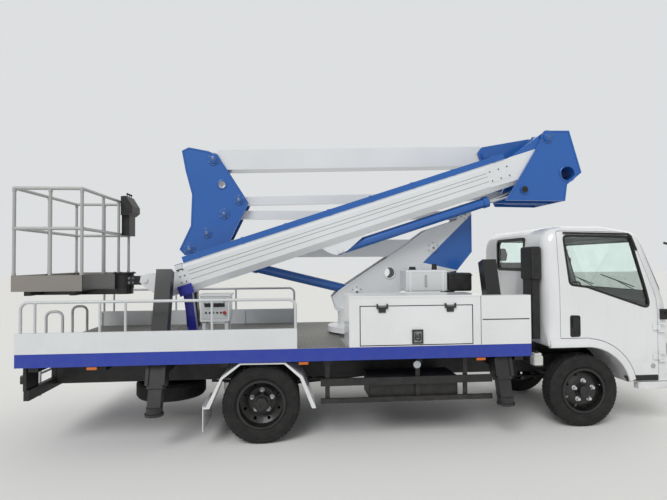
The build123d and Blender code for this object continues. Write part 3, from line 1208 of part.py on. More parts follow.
def boom_base():
    """Base section with its root lugs, cover strip, luff bracket and wear pads."""
    width = BOOM_BASE_WIDTH
    height = BOOM_BASE_HEIGHT
    top = BOOM_DROP - height / 2
    low = BOOM_DROP + height / 2
    body = boom_section(BOOM_ROOT, BOOM_BASE_END, width, height, BOOM_FACET)
    for side in (-1, 1):
        y0 = side * width / 2
        y1 = y0 - side * 22
        body += plate([(-62, 40), (-62, -40), (0, -72), (BOOM_ROOT, top - 4), (BOOM_ROOT + 330, top + 40),
                       (BOOM_ROOT + 330, BOOM_DROP + 100), (BOOM_ROOT - 40, BOOM_DROP + 110), (40, 62)],
                      min(y0, y1), max(y0, y1))
    body += pin(0, 0, 62, -width / 2, width / 2)
    body -= pin(0, 0, BOOM_PIN_RADIUS, -width, width)
    body += block(BOOM_ROOT + 60, BOOM_BASE_END - 90, -width / 2 + 30, width / 2 - 30,
                  top - BOOM_COVER, top + 2)
    body += block(BOOM_BASE_END - 70, BOOM_BASE_END, -width / 2 - 5, width / 2 + 5, top - 8, top + 60)
    body -= boom_room(BOOM_ROOT + 1, BOOM_BASE_END + 1, width, height, BOOM_WALL)
    luff = boom_place().inverse() * Location((LUFF_EYE_X, BOOM_PLANE_Y, LUFF_EYE_Z))
    x = luff.position.X
    z = luff.position.Z
    lug_in = LUFF_BARREL_RADIUS + MOVING_GAP
    for side in (-1, 1):
        y0 = side * lug_in
        y1 = y0 + side * CHEEK
        body += plate([(x - 330, low - 2), (x - 70, z + 34), (x + 60, z + 40), (x + 120, z), (x + 190, low - 2)],
                      min(y0, y1), max(y0, y1))
        spacer = (side * (EYE_WIDTH / 2 + 1), side * (lug_in + 1))
        body += pin(x, z, LUFF_ROD_RADIUS + 12, min(spacer), max(spacer))
    body += pin(x, z, LUFF_ROD_RADIUS - RUNNING_FIT, -lug_in - CHEEK - 10, lug_in + CHEEK + 10)
    body += pads(BOOM_BASE_END - 60, BOOM_BASE_END, width, height, BOOM_WALL)
    return boom_place() * body


def pads(x0, x1, width, height, wall):
    """Wear pads inside a section's mouth, clear of the next section by a seat's gap."""
    room = BOOM_STAGE_GAP - SEAT_GAP
    half = width / 2 - wall
    top = BOOM_DROP - height / 2 + wall
    low = BOOM_DROP + height / 2 - wall
    set_of_pads = Part()
    for side in (-1, 1):
        y = side * half
        y_in = y - side * room
        set_of_pads += block(x0, x1, min(y, y_in), max(y, y_in), BOOM_DROP - 40, BOOM_DROP + 20)
    set_of_pads += block(x0, x1, -35, 35, top, top + room)
    set_of_pads += block(x0, x1, -35, 35, low - room, low)
    return set_of_pads


def stage(number):
    """Width, height and wall of a boom section, counted from the base."""
    step = 2 * (BOOM_WALL + BOOM_STAGE_GAP)
    return BOOM_BASE_WIDTH - number * step, BOOM_BASE_HEIGHT - number * step, BOOM_WALL


def boom_middle():
    """Second section with the head band that shows at the base section's mouth."""
    width, height, wall = stage(1)
    body = boom_tube(BOOM_ROOT + 130, BOOM_BASE_END + 150, width, height, wall)
    body += pads(BOOM_BASE_END + 90, BOOM_BASE_END + 150, width, height, wall)
    return boom_place() * body


def boom_tip():
    """Third section with the fork that carries the basket's bracket."""
    width, height, wall = stage(2)
    end = BOOM_BASE_END + 280
    body = boom_tube(BOOM_ROOT + 260, end, width, height, wall)
    body -= block(end - TIP_CUT_LENGTH, end + 1, -width, width, TIP_CUT_DROP, BOOM_DROP + height)
    tip = boom_place().inverse() * Location((TIP_PIVOT_X, BOOM_PLANE_Y, TIP_PIVOT_Z))
    x = tip.position.X
    z = tip.position.Z
    for side in (-1, 1):
        y0 = side * width / 2
        y1 = y0 - side * 14
        body += plate([(end - 120, BOOM_DROP + height / 2 - 50), (end - 120, BOOM_DROP - height / 2 + 22),
                       (x - 60, z - 58), (x + 30, z - 55), (x + 58, z), (x + 30, z + 58),
                       (end, BOOM_DROP + height / 2 - 50)], min(y0, y1), max(y0, y1))
    body += pin(x, z, PIN_RADIUS - 8 - RUNNING_FIT, -width / 2 - 12, width / 2 + 12)
    return boom_place() * body


# Cylinders

def barrel(place, length, radius, foot_radius, rod_radius):
    """Cylinder barrel along +X with its foot eye at the origin and its bore for the rod."""
    body = rod((foot_radius + 20, 0, 0), (length, 0, 0), radius)
    body += rod((length - 60, 0, 0), (length, 0, 0), radius + 10)
    body += block(0, foot_radius + 40, -EYE_WIDTH / 2, EYE_WIDTH / 2, -foot_radius - 8, foot_radius + 8)
    body += pin(0, 0, foot_radius + EYE_WALL, -EYE_WIDTH / 2, EYE_WIDTH / 2)
    body -= pin(0, 0, foot_radius, -EYE_WIDTH, EYE_WIDTH)
    body -= rod((foot_radius + 60, 0, 0), (length + 1, 0, 0), rod_radius + RUNNING_FIT)
    return place * body


def piston_rod(place, length, start, rod_radius, pin_radius):
    """Rod along +X that ends in an eye with its pin, the eye's middle at the given length."""
    body = rod((start, 0, 0), (length - pin_radius, 0, 0), rod_radius)
    body += pin(length, 0, pin_radius + EYE_WALL, -EYE_WIDTH / 2, EYE_WIDTH / 2)
    return place * body


def cylinder_pair(x0, z0, x1, z1, y, sizes, start):
    """Barrel pinned at the first point and rod with its eye at the second."""
    radius, length, rod_radius, foot_radius = sizes
    place = on_line(x0, y, z0, slope_of(x0, z0, x1, z1))
    reach = span_of(x0, z0, x1, z1)
    tube = barrel(place, length, radius, foot_radius, rod_radius)
    return tube, piston_rod(place, reach, start, rod_radius, foot_radius)


# Basket

def basket_bracket():
    """Levelled bracket from the boom's tip to the swivel that carries the basket."""
    half = stage(2)[0] / 2 - 14 - MOVING_GAP
    y = BOOM_PLANE_Y
    body = pin(TIP_PIVOT_X, TIP_PIVOT_Z, 52, y - half, y + half)
    body += block(SWIVEL_X, TIP_PIVOT_X - 20, y - half, y + half, TIP_PIVOT_Z - 46, TIP_PIVOT_Z + 46)
    body += Location((SWIVEL_X, y, SWIVEL_SPLIT_Z + 2 * SEAT_GAP)) * Cylinder(
        SWIVEL_RADIUS, SWIVEL_TOP_Z - SWIVEL_SPLIT_Z, align=UPRIGHT)
    body += Location((SWIVEL_X, y, SWIVEL_TOP_Z)) * Cylinder(SWIVEL_RADIUS + 18, 14, align=UPRIGHT)
    body -= pin(TIP_PIVOT_X, TIP_PIVOT_Z, PIN_RADIUS - 8, y - half - 1, y + half + 1)
    return body


def basket_frame():
    """Work basket: tube rails, posts, toe boards and floor, with the swivel foot and beams."""
    rear = BASKET_REAR_X
    front = BASKET_X
    half = BASKET_HALF_WIDTH
    r = BASKET_TUBE
    x0 = rear + r
    x1 = front - r
    y1 = half - r
    top = BASKET_TOP_Z - r
    floor_z = BASKET_FLOOR_Z
    body = block(rear, front, -half, half, floor_z, floor_z + 28)
    wall = block(rear, front, -half, half, floor_z, TOE_BOARD_TOP_Z)
    body += wall - block(rear + 4, front - 4, -half + 4, half - 4, floor_z + 20, TOE_BOARD_TOP_Z + 1)
    for z in (top, BASKET_MID_Z):
        corners = [(x0, -y1, z), (x1, -y1, z), (x1, y1, z), (x0, y1, z)]
        for n in range(4):
            body += rod(corners[n], corners[(n + 1) % 4], r)
            body += Location(corners[n]) * Sphere(r)
    posts = [(x0, -y1), (x1, -y1), (x1, y1), (x0, y1), (x0, 0.0), (x1, -140.0), (x1, 330.0),
             ((x0 + x1) / 2 + 20, -y1), ((x0 + x1) / 2 + 20, y1)]
    for x, y in posts:
        body += rod((x, y, floor_z + 10), (x, y, top), r - 1)
    y = BOOM_PLANE_Y
    low = BASKET_BEAM_BOTTOM_Z
    beam = block(rear + 60, SWIVEL_X, y - 75, y + 75, low, floor_z + 1)
    beam -= block(rear + 50, SWIVEL_X - 130, y - 63, y + 63, low - 1, floor_z - 12)
    body += beam
    for x in (rear + 90, front - 150):
        body += block(x, x + 60, -half + 60, half - 60, low + 8, floor_z + 1)
    body += Location((SWIVEL_X, y, low)) * Cylinder(SWIVEL_RADIUS - 4, SWIVEL_SPLIT_Z - low, align=UPRIGHT)
    return body


def basket_console():
    """Control console on the basket's front rail."""
    x = BASKET_X + SEAT_GAP
    hood = plate([(x, 2330), (x, 2560), (x + 60, 2565), (x + 135, 2440), (x + 135, 2370), (x + 90, 2330)],
                 345, 640)
    box = block(x, x + 90, 380, 600, 2085, 2330)
    return hood + box


# Deck fittings

def boom_rest():
    """Leaning post with the cradle that the stowed boom lies in."""
    base = DECK_TOP_Z + SEAT_GAP
    low = BOOM_DROP + BOOM_BASE_HEIGHT / 2
    x0 = BOOM_BASE_END - 110
    x1 = BOOM_BASE_END + 40
    seat = block(x0, x1, -REST_HALF_WIDTH, REST_HALF_WIDTH, low + SEAT_GAP, low + 16)
    for y0, y1 in ((-REST_HALF_WIDTH, -REST_HALF_WIDTH + 14), (REST_HALF_WIDTH - 14, REST_HALF_WIDTH)):
        seat += block(x0, x1, y0, y1, low - 90, low + 10)
    middle = boom_place() * Location(((x0 + x1) / 2, 0, low + 12))
    x = middle.position.X
    z = middle.position.Z
    post = plate([(x + 5, base), (x + 95, base), (x + 30, z + 8), (x - 60, z - 16)],
                 BOOM_PLANE_Y - 45, BOOM_PLANE_Y + 45)
    foot = block(x - 25, x + 115, BOOM_PLANE_Y - 80, BOOM_PLANE_Y + 80, base, base + 12)
    return boom_place() * seat + post + foot


def control_station():
    """Ground control panel on its legs, facing the right-hand side."""
    body = plate([(-650, 1140), (-650, 1420), (-350, 1420), (-350, 1140)], -540, -280, 12)
    body += block(-662, -338, -552, -270, 1402, 1420)
    for x in (-630, -400):
        for y in (-520, -330):
            body += block(x, x + 34, y, y + 34, DECK_TOP_Z + SEAT_GAP, 1150)
    return body


def power_pack():
    """Hydraulic tank and pump box beside the tower."""
    tank = block(1550, 2020, -430, -140, 1416, 1655)
    tank = fillet(tank.edges(), 16)
    bracket = block(1600, 1740, -141, CHEEK_OUT_LOW - SEAT_GAP, 1480, 1560)
    pump = block(2030, 2300, -430, -180, 1416, 1620)
    pump = fillet(pump.edges(), 20)
    link = block(2015, 2036, -380, -220, 1450, 1600)
    return tank + bracket + pump + link


# Nodes

def save(name, shape):
    """Write one node, moved so that the origin is under the middle of the truck."""
    solids = shape if isinstance(shape, list) else [shape]
    moved = []
    for solid in solids:
        moved += [Location((-CENTRE_X, 0, 0)) * piece for piece in solid.solids()]
    whole = moved[0] if len(moved) == 1 else Compound(children=moved)
    export_step(whole, "parts/" + name + ".step")


def main():
    """Build every node and write its file."""
    os.makedirs("parts", exist_ok=True)
    save("ladder_frame", ladder_frame())
    save("subframe", subframe())
    save("outrigger_sleeves", outrigger_sleeves())
    for name, leg_x, side in (("rear_left", REAR_LEG_X, 1), ("rear_right", REAR_LEG_X, -1),
                              ("front_left", FRONT_LEG_X, 1), ("front_right", FRONT_LEG_X, -1)):
        save("outrigger_leg_" + name, outrigger_leg(leg_x, side))
    save("axles", [front_axle(), rear_axle()])
    for name, side in (("left", 1), ("right", -1)):
        save("steering_knuckle_" + name, steering_knuckle(side))
        save("front_rim_" + name, front_wheel(side))
        save("front_tyre_" + name, tyre(WHEELBASE, side * FRONT_TRACK / 2))
        save("rear_rims_" + name, rear_wheels(side))
        save("rear_tyres_" + name, rear_tyres(side))
        save("cab_door_" + name, cab_door(side))
        save("cab_door_glass_" + name, door_glass(side))
    save("engine_and_exhaust", [engine_block(), propeller_shaft(), exhaust()])
    save("side_boxes", side_boxes())
    save("spare_wheel", spare_wheel())
    save("guards", side_guards() + [rear_guard()])
    save("lamps", rear_lamps() + headlamps())
    save("deck", deck())
    save("side_boards", side_boards())
    save("rails_and_ladder", handrails() + [ladder()] + [grab_loop(y) for y in LADDER_Y])
    save("cabinet", cabinet())
    save("cabinet_door", cabinet_lid())
    save("mudguards", mudguards())
    save("cab_shell", cab_shell())
    save("cab_glass", cab_glass())
    save("cab_interior", [cab_interior(), steering_wheel()] + seats())
    save("front_bumper", [front_bumper(), grille()])
    save("mirrors", mirrors())
    save("air_intake", air_intake())
    save("tower", [turret_base(), tower()])
    save("arm_1", arm_1())
    save("rod_1", rod_1())
    save("elbow_a", elbow_a())
    save("arm_2", arm_2())
    save("rod_2", rod_2())
    save("elbow_b", elbow_b())
    save("boom_base", boom_base())
    save("boom_middle", boom_middle())
    save("boom_tip", boom_tip())
    luff = (LUFF_BARREL_RADIUS, LUFF_BARREL_LENGTH, LUFF_ROD_RADIUS, LUFF_ROD_RADIUS)
    lift = (LIFT_BARREL_RADIUS, LIFT_BARREL_LENGTH, LIFT_ROD_RADIUS, LIFT_ROD_RADIUS)
    elbow = (ELBOW_BARREL_RADIUS, ELBOW_BARREL_LENGTH, ELBOW_ROD_RADIUS, ELBOW_ROD_RADIUS)
    for name, ends, y, sizes, start in (
            ("luff", (LUFF_EYE_X, LUFF_EYE_Z, B_ROD_X, B_ROD_Z), BOOM_PLANE_Y, luff, 100.0),
            ("lift", (LIFT_FOOT_X, LIFT_FOOT_Z, LIFT_EYE_X, LIFT_EYE_Z), ARM_PLANE_Y, lift, 100.0),
            ("elbow", (ELBOW_FOOT_X, ELBOW_FOOT_Z, ELBOW_EYE_X, ELBOW_EYE_Z), ARM_PLANE_Y, elbow, 405.0)):
        tube, piston = cylinder_pair(*ends, y, sizes, start)
        save(name + "_barrel", tube)
        save(name + "_rod", piston)
    save("basket_bracket", basket_bracket())
    save("basket", basket_frame())
    save("basket_console", basket_console())
    save("boom_rest", boom_rest())
    save("control_station", [control_station(), power_pack()])
    print("centre_x", CENTRE_X)


main()
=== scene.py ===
import logging
import math
from dataclasses import dataclass, field
from enum import Enum
from functools import cached_property
from typing import ClassVar, Iterable, Sequence

import bmesh
import bpy
from mathutils import Matrix, Vector


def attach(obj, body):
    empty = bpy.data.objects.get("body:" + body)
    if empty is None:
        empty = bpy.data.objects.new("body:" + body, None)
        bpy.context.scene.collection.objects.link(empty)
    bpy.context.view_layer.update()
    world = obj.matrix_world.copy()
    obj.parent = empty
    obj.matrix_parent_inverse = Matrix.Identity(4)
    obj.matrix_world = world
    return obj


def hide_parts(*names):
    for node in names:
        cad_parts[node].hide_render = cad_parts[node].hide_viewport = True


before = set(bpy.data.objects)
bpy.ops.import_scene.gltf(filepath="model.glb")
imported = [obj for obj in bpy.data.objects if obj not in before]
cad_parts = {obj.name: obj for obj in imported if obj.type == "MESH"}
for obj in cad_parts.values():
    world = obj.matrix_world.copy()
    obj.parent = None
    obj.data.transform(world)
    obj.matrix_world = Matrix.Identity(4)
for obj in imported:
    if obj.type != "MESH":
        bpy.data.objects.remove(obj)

# Cherry picker truck: a light lorry with a folding two-arm lift, a telescopic
# boom and a work basket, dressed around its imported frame.
# Sizes are millimetres in the truck's own frame: X forward from the rear axle,
# Y to the left, Z up from the ground. at() turns them into the scene's metres.

log = logging.getLogger("cherry_picker")

MM = 0.001
MIDDLE_X = 977.5
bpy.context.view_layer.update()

FORWARD, LEFT, UP = Vector((1, 0, 0)), Vector((0, 1, 0)), Vector((0, 0, 1))
SIDES = {1: "left", -1: "right"}

# A corner is a place in two directions and the radius that rounds it.
Point = tuple[float, float, float]
Flat = tuple[float, float]
Corner = tuple[float, float, float]
Socket = bpy.types.NodeSocket


def at(x: float, y: float, z: float) -> Vector:
    """Turns a point of the truck's frame into scene metres.

    Args:
        x: Millimetres forward of the rear axle.
        y: Millimetres to the left of the middle.
        z: Millimetres above the ground.

    Returns:
        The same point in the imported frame, in metres.
    """
    return Vector(((x - MIDDLE_X) * MM, y * MM, z * MM))


def linear(colour: str) -> tuple[float, float, float, float]:
    """Turns an sRGB hex colour into linear light.

    Args:
        colour: Six hex digits, with or without a hash.

    Returns:
        Linear red, green, blue and an alpha of 1.
    """
    digits = colour.lstrip("#")
    shares = [int(digits[n:n + 2], 16) / 255 for n in (0, 2, 4)]
    light = [s / 12.92 if s <= 0.04045 else ((s + 0.055) / 1.055) ** 2.4 for s in shares]
    return (light[0], light[1], light[2], 1.0)


# Materials


class Slot(Enum):
    """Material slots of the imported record."""

    WHITE = "white_paint"
    BLUE = "blue_paint"
    DECK = "deck_paint"
    CHASSIS = "chassis_paint"
    RIM = "rim_paint"
    STEEL = "bare_steel"
    CHROME = "rod_chrome"
    RUBBER = "tyre_rubber"
    PLASTIC = "black_plastic"
    TRIM = "interior"
    LAMP = "lamp_plastic"
    GLASS = "clear_glass"
    PANEL = "grey_panel"


class Shade:
    """Node tree under construction.

    Attributes:
        tree: The tree.
    """

    def __init__(self, owner: bpy.types.Material | bpy.types.World) -> None:
        """Starts an empty tree.

        Args:
            owner: The material or world that it belongs to.
        """
        owner.use_nodes = True
        self.tree = owner.node_tree
        self.tree.nodes.clear()

    def add(self, kind: str, settings: dict | None = None, links: dict | None = None) -> bpy.types.Node:
        """Adds one node with its settings and links.

        Args:
            kind: Blender's type name of the node.
            settings: Values by input name or number, or by the node's own property in lower case.
            links: Output sockets by input name or number.

        Returns:
            The new node.
        """
        node = self.tree.nodes.new(kind)
        for key, value in (settings or {}).items():
            if isinstance(key, str) and key[0].islower():
                setattr(node, key, value)
            else:
                node.inputs[key].default_value = value
        for key, source in (links or {}).items():
            self.tree.links.new(source, node.inputs[key])
        return node

    @cached_property
    def place(self) -> Socket:
        """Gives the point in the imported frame, in metres.

        Returns:
            The point's socket.
        """
        return self.add("ShaderNodeTexCoord").outputs["Object"]

    def maths(self, operation: str, settings: dict, links: dict) -> Socket:
        """Adds one sum.

        Args:
            operation: What is done with the numbers.
            settings: Plain numbers by input number.
            links: Sockets by input number.

        Returns:
            The result.
        """
        return self.add("ShaderNodeMath", {"operation": operation, **settings}, links).outputs[0]

    def ranged(self, level: Socket, source: Flat, target: Flat = (0.0, 1.0)) -> Socket:
        """Carries a level over from one range to another.

        Args:
            level: The level.
            source: Lowest and highest level of the first range.
            target: What those two become.

        Returns:
            The new level.
        """
        ends = {"From Min": source[0], "From Max": source[1], "To Min": target[0], "To Max": target[1]}
        return self.add("ShaderNodeMapRange", ends, {"Value": level}).outputs[0]

    def plain(self, colour: str) -> Socket:
        """Gives one colour.

        Args:
            colour: The colour, as sRGB hex.

        Returns:
            The colour's socket.
        """
        base = self.add("ShaderNodeRGB")
        base.outputs[0].default_value = linear(colour)
        return base.outputs[0]

    def blended(self, share: Socket, first: Socket, second: Socket | str) -> Socket:
        """Mixes two colours.

        Args:
            share: How much of the second colour shows.
            first: The colour at share 0.
            second: The colour at share 1, as a socket or as sRGB hex.

        Returns:
            The mixed colour.
        """
        other = self.plain(second) if isinstance(second, str) else second
        return self.add("ShaderNodeMix", {"data_type": "RGBA"}, {0: share, 6: first, 7: other}).outputs[2]

    def noise(self, size: float, detail: float, place: Socket | None = None) -> Socket:
        """Gives cloudy noise.

        Args:
            size: Size of the clouds in millimetres.
            detail: Octaves of finer cloud.
            place: Where to look it up, if not at the point itself.

        Returns:
            The noise level.
        """
        return self.add("ShaderNodeTexNoise", {"Scale": 1 / (size * MM), "Detail": detail},
                        {"Vector": place or self.place}).outputs[0]

    def mottled(self, size: float, low: float, high: float, detail: float = 3.0) -> Socket:
        """Cloudy mask between two levels.

        Args:
            size: Size of the clouds in millimetres.
            low: Noise level that gives 0.
            high: Noise level that gives 1.
            detail: Octaves of finer cloud.

        Returns:
            The mask.
        """
        return self.ranged(self.noise(size, detail), (low, high))

    def grained(self, height: Socket, depth: float, strength: float) -> Socket:
        """Turns a height into a relief.

        Args:
            height: The height, from 0 to 1.
            depth: Depth of the relief in millimetres.
            strength: How much of it shows.

        Returns:
            The normal to shade with.
        """
        return self.add("ShaderNodeBump", {"Strength": strength, "Distance": depth * MM},
                        {"Height": height}).outputs[0]


@dataclass(frozen=True)
class Zone:
    """Part of space where a second colour is sprayed: every plane a*x + b*y + c*z > d holds.

    Attributes:
        planes: The four numbers of each plane, in millimetres of the truck's frame.
        colour: The colour inside, as sRGB hex.
    """

    planes: tuple[tuple[float, float, float, float], ...]
    colour: str

    def mask(self, shade: Shade) -> Socket:
        """Gives 1 inside the zone and 0 outside.

        Args:
            shade: The material's tree.

        Returns:
            The socket with the mask.
        """
        inside = None
        for a, b, c, d in self.planes:
            reach = (d - a * MIDDLE_X) * MM
            along = shade.add("ShaderNodeVectorMath", {"operation": "DOT_PRODUCT", 1: (a, b, c)},
                              {0: shade.place})
            side = shade.maths("GREATER_THAN", {1: reach}, {0: along.outputs["Value"]})
            inside = side if inside is None else shade.maths("MULTIPLY", {}, {0: inside, 1: side})
        return inside


@dataclass(frozen=True)
class Finish:
    """What every finish has: it makes its material once and hands it out.

    Attributes:
        made: The materials made so far, by name.
        name: The material's name.
        colour: Its colour, as sRGB hex.
        slot: The record's slot of the pieces that wear it.
        zones: Places in other colours.
        roughness: How dull it is, at least.
    """

    made: ClassVar[dict[str, bpy.types.Material]] = {}

    name: str
    colour: str
    slot: Slot = Slot.WHITE
    zones: tuple[Zone, ...] = ()
    roughness: float = 0.32

    def material(self) -> bpy.types.Material:
        """Makes the material the first time, and returns it.

        Returns:
            The finish's own material.
        """
        if self.name not in Finish.made:
            made = bpy.data.materials.new(self.name)
            shade = Shade(made)
            shade.add("ShaderNodeOutputMaterial", links={0: self.fill(shade).outputs[0]})
            Finish.made[self.name] = made
        return Finish.made[self.name]

    def sprayed(self, shade: Shade) -> Socket:
        """Gives the finish's colour with its zones over it.

        Args:
            shade: The material's tree.

        Returns:
            The colour.
        """
        colour = shade.plain(self.colour)
        for zone in self.zones:
            colour = shade.blended(zone.mask(shade), colour, zone.colour)
        return colour

    def fill(self, shade: Shade) -> bpy.types.Node:
        """Builds the material's nodes; each finish has its own.

        Args:
            shade: The material's tree.

        Returns:
            The shader.
        """
        raise NotImplementedError


@dataclass(frozen=True)
class Enamel(Finish):
    """Two-pack enamel sprayed on steel.

    Attributes:
        coat: Share of the clear gloss on top.
        dust: Most of the road dust on it.
        dust_top: Height in millimetres where the dust ends.
        peel: Depth of the orange peel in millimetres.
    """

    coat: float = 0.45
    dust: float = 0.25
    dust_top: float = 1100.0
    peel: float = 0.12

    def fill(self, shade: Shade) -> bpy.types.Node:
        """Enamel flows into a smooth skin with slight orange peel, and dust dulls it low down.

        Args:
            shade: The material's tree.

        Returns:
            The shader.
        """
        colour = self.sprayed(shade)
        # Slight fading between panels keeps a large painted face from looking like card.
        darker = shade.add("ShaderNodeHueSaturation", {"Value": 0.93}, {"Color": colour})
        colour = shade.blended(shade.mottled(700.0, 0.35, 0.75), colour, darker.outputs[0])
        # Rain streaks: clouds stretched downwards, 30 mm wide.
        squeezed = shade.add("ShaderNodeMapping", {"Scale": (1.0, 1.0, 0.06)}, {"Vector": shade.place})
        streak = shade.ranged(shade.noise(30.0, 4.0, squeezed.outputs[0]), (0.52, 0.8))
        height = shade.add("ShaderNodeSeparateXYZ", links={0: shade.place}).outputs[2]
        low = shade.ranged(height, (0.35, self.dust_top * MM), (1.0, 0.0))
        grime = shade.maths("MULTIPLY_ADD", {2: 0.0}, {0: low, 1: shade.mottled(90.0, 0.3, 0.7, 6.0)})
        wash = shade.maths("MULTIPLY_ADD", {1: 0.14}, {0: streak, 2: grime})
        share = shade.maths("MULTIPLY", {1: self.dust, "use_clamp": True}, {0: wash})
        # Orange peel is 2 to 3 mm across on the real panel; 9 mm is the finest that shows.
        skin = shade.grained(shade.noise(9.0, 1.0), self.peel, 0.25)
        return shade.add("ShaderNodeBsdfPrincipled",
                   {"IOR": 1.5, "Coat Weight": self.coat, "Coat Roughness": 0.08, "Coat IOR": 1.5},
                   {"Base Color": shade.blended(share, colour, "#8d857a"),
                    "Roughness": shade.ranged(share, (0.0, 1.0), (self.roughness, 0.75)), "Normal": skin})


@dataclass(frozen=True)
class Moulded(Finish):
    """Injection-moulded or rubber part with a fine grain.

    Attributes:
        grain: Size of the grain in millimetres.
        depth: Depth of the grain in millimetres.
        dust: Share of dust that settles on it.
    """

    slot: Slot = Slot.PLASTIC
    roughness: float = 0.55
    dust: float = 0.2
    grain: float = 6.0
    depth: float = 0.3

    def fill(self, shade: Shade) -> bpy.types.Node:
        """Moulding copies the grain of its tool, and dust greys the black.

        Args:
            shade: The material's tree.

        Returns:
            The shader.
        """
        share = shade.maths("MULTIPLY", {1: self.dust}, {0: shade.mottled(60.0, 0.35, 0.8, 5.0)})
        skin = shade.grained(shade.noise(self.grain, 2.0), self.depth, 0.5)
        return shade.add("ShaderNodeBsdfPrincipled", {"IOR": 1.5},
                   {"Base Color": shade.blended(share, self.sprayed(shade), "#7f7a72"),
                    "Roughness": shade.ranged(share, (0.0, 1.0), (self.roughness, 0.9)), "Normal": skin})


@dataclass(frozen=True)
class Metal(Finish):
    """Bare metal: galvanised, bright or chromed.

    Attributes:
        second: Colour of its spangle or stain, as sRGB hex.
        cell: Size of the spangle in millimetres.
        rougher: Most roughness.
        metallic: Share of bare metal.
    """

    slot: Slot = Slot.STEEL
    roughness: float = 0.3
    second: str = "#c3c7c9"
    cell: float = 14.0
    rougher: float = 0.45
    metallic: float = 0.95

    def fill(self, shade: Shade) -> bpy.types.Node:
        """Zinc freezes in flat crystals of slightly different brightness; chrome has none to see.

        Args:
            shade: The material's tree.

        Returns:
            The shader.
        """
        cells = shade.add("ShaderNodeTexVoronoi", {"Scale": 1 / (self.cell * MM)}, {"Vector": shade.place})
        parts = shade.add("ShaderNodeSeparateXYZ", links={0: cells.outputs["Color"]})
        colour = shade.blended(parts.outputs[0], self.sprayed(shade), self.second)
        stain = shade.mottled(120.0, 0.55, 0.85, 4.0)
        dull = shade.ranged(parts.outputs[1], (0.0, 1.0), (self.roughness, self.rougher))
        return shade.add("ShaderNodeBsdfPrincipled", {"Metallic": self.metallic},
                   {"Base Color": shade.blended(stain, colour, self.second), "Roughness": dull})


@dataclass(frozen=True)
class Glazing(Finish):
    """Toughened glass, whose colour is that of the light that comes through.

    Attributes:
        dust: Share of the film of dust on it.
    """

    slot: Slot = Slot.GLASS
    roughness: float = 0.0
    dust: float = 0.12

    def fill(self, shade: Shade) -> bpy.types.Node:
        """Float glass is smooth; a thin film of dust shows as a slight change of colour.

        Args:
            shade: The material's tree.

        Returns:
            The shader.
        """
        share = shade.maths("MULTIPLY", {1: self.dust}, {0: shade.mottled(160.0, 0.4, 0.9, 4.0)})
        return shade.add("ShaderNodeBsdfPrincipled",
                   {"IOR": 1.5, "Roughness": self.roughness, "Transmission Weight": 1.0},
                   {"Base Color": shade.blended(share, self.sprayed(shade), "#9a9c9a")})


@dataclass(frozen=True)
class TreadPlate(Finish):
    """Chequered steel plate with raised bars in two directions.

    Attributes:
        pitch: Distance between bars in millimetres.
    """

    slot: Slot = Slot.DECK
    roughness: float = 0.55
    pitch: float = 40.0

    def fill(self, shade: Shade) -> bpy.types.Node:
        """Bars stand 1.5 mm proud and are walked bright; the hollows hold dust.

        Args:
            shade: The material's tree.

        Returns:
            The shader.
        """
        scale = 1 / (self.pitch * MM)
        turned = shade.add("ShaderNodeMapping", {"Rotation": (0.0, 0.0, math.radians(45)),
                                                 "Scale": (scale, scale, 0.0)},
                           {"Vector": shade.place}).outputs[0]
        checks = shade.add("ShaderNodeTexChecker", {"Scale": 1.0}, {"Vector": turned})
        bars = []
        for squeeze in ((1.0, 3.2, 1.0), (3.2, 1.0, 1.0)):
            drawn = turned
            for operation, settings in (("FRACTION", {}), ("SUBTRACT", {1: (0.5, 0.5, 0.0)}),
                                        ("MULTIPLY", {1: squeeze}), ("LENGTH", {})):
                step = shade.add("ShaderNodeVectorMath", {"operation": operation, **settings}, {0: drawn})
                drawn = step.outputs["Value" if operation == "LENGTH" else "Vector"]
            bars.append(shade.ranged(drawn, (0.3, 0.5), (1.0, 0.0)))
        raised = shade.add("ShaderNodeMix", {"data_type": "FLOAT"},
                     {0: checks.outputs["Fac"], 2: bars[0], 3: bars[1]}).outputs[0]
        worn = shade.mottled(300.0, 0.3, 0.8, 5.0)
        colour = shade.blended(worn, self.sprayed(shade), "#77756f")
        return shade.add("ShaderNodeBsdfPrincipled",
                   {"IOR": 1.5, "Roughness": self.roughness, "Metallic": 0.3},
                   {"Base Color": shade.blended(raised, colour, "#a2a3a1"),
                    "Normal": shade.grained(raised, 1.5, 0.6)})


WHITE = "#e6e8ea"
LIFT_BLUE = "#2160b0"
DECK_BLUE = "#0230a2"
BLACK = "#17181a"

BODY_WHITE = Enamel("body_white_enamel", WHITE, roughness=0.3, coat=0.5, dust=0.2, dust_top=1250.0)
BOARD_WHITE = Enamel("board_white_enamel", "#dcdfe2", roughness=0.36, coat=0.3, dust=0.2, dust_top=1200.0)
ARM_WHITE = Enamel("arm_white_enamel", "#e3e6e9", roughness=0.3, coat=0.5, dust=0.1, dust_top=1800.0)
ELBOW_BLUE = Enamel("elbow_blue_enamel", LIFT_BLUE, Slot.BLUE, roughness=0.3, coat=0.5, dust=0.1,
                    dust_top=2400.0)
CHASSIS_BLACK = Enamel("chassis_black_enamel", "#141517", Slot.CHASSIS, roughness=0.5, coat=0.1, dust=0.1,
                       dust_top=1000.0)
LEG_GREY = Enamel("leg_charcoal_enamel", "#1f2022", Slot.CHASSIS, roughness=0.45, coat=0.1, dust=0.06,
                  dust_top=1300.0)
RIM_BLACK = Enamel("rim_black_enamel", "#111214", Slot.RIM, roughness=0.42, coat=0.2, dust=0.06,
                   dust_top=900.0)
DECK_EDGE = Enamel("deck_edge_enamel", DECK_BLUE, Slot.DECK, (Zone(((0, 0, 1, 922.5),), "#6d6d69"),),
                   roughness=0.3, coat=0.5, dust=0.2, dust_top=1000.0)
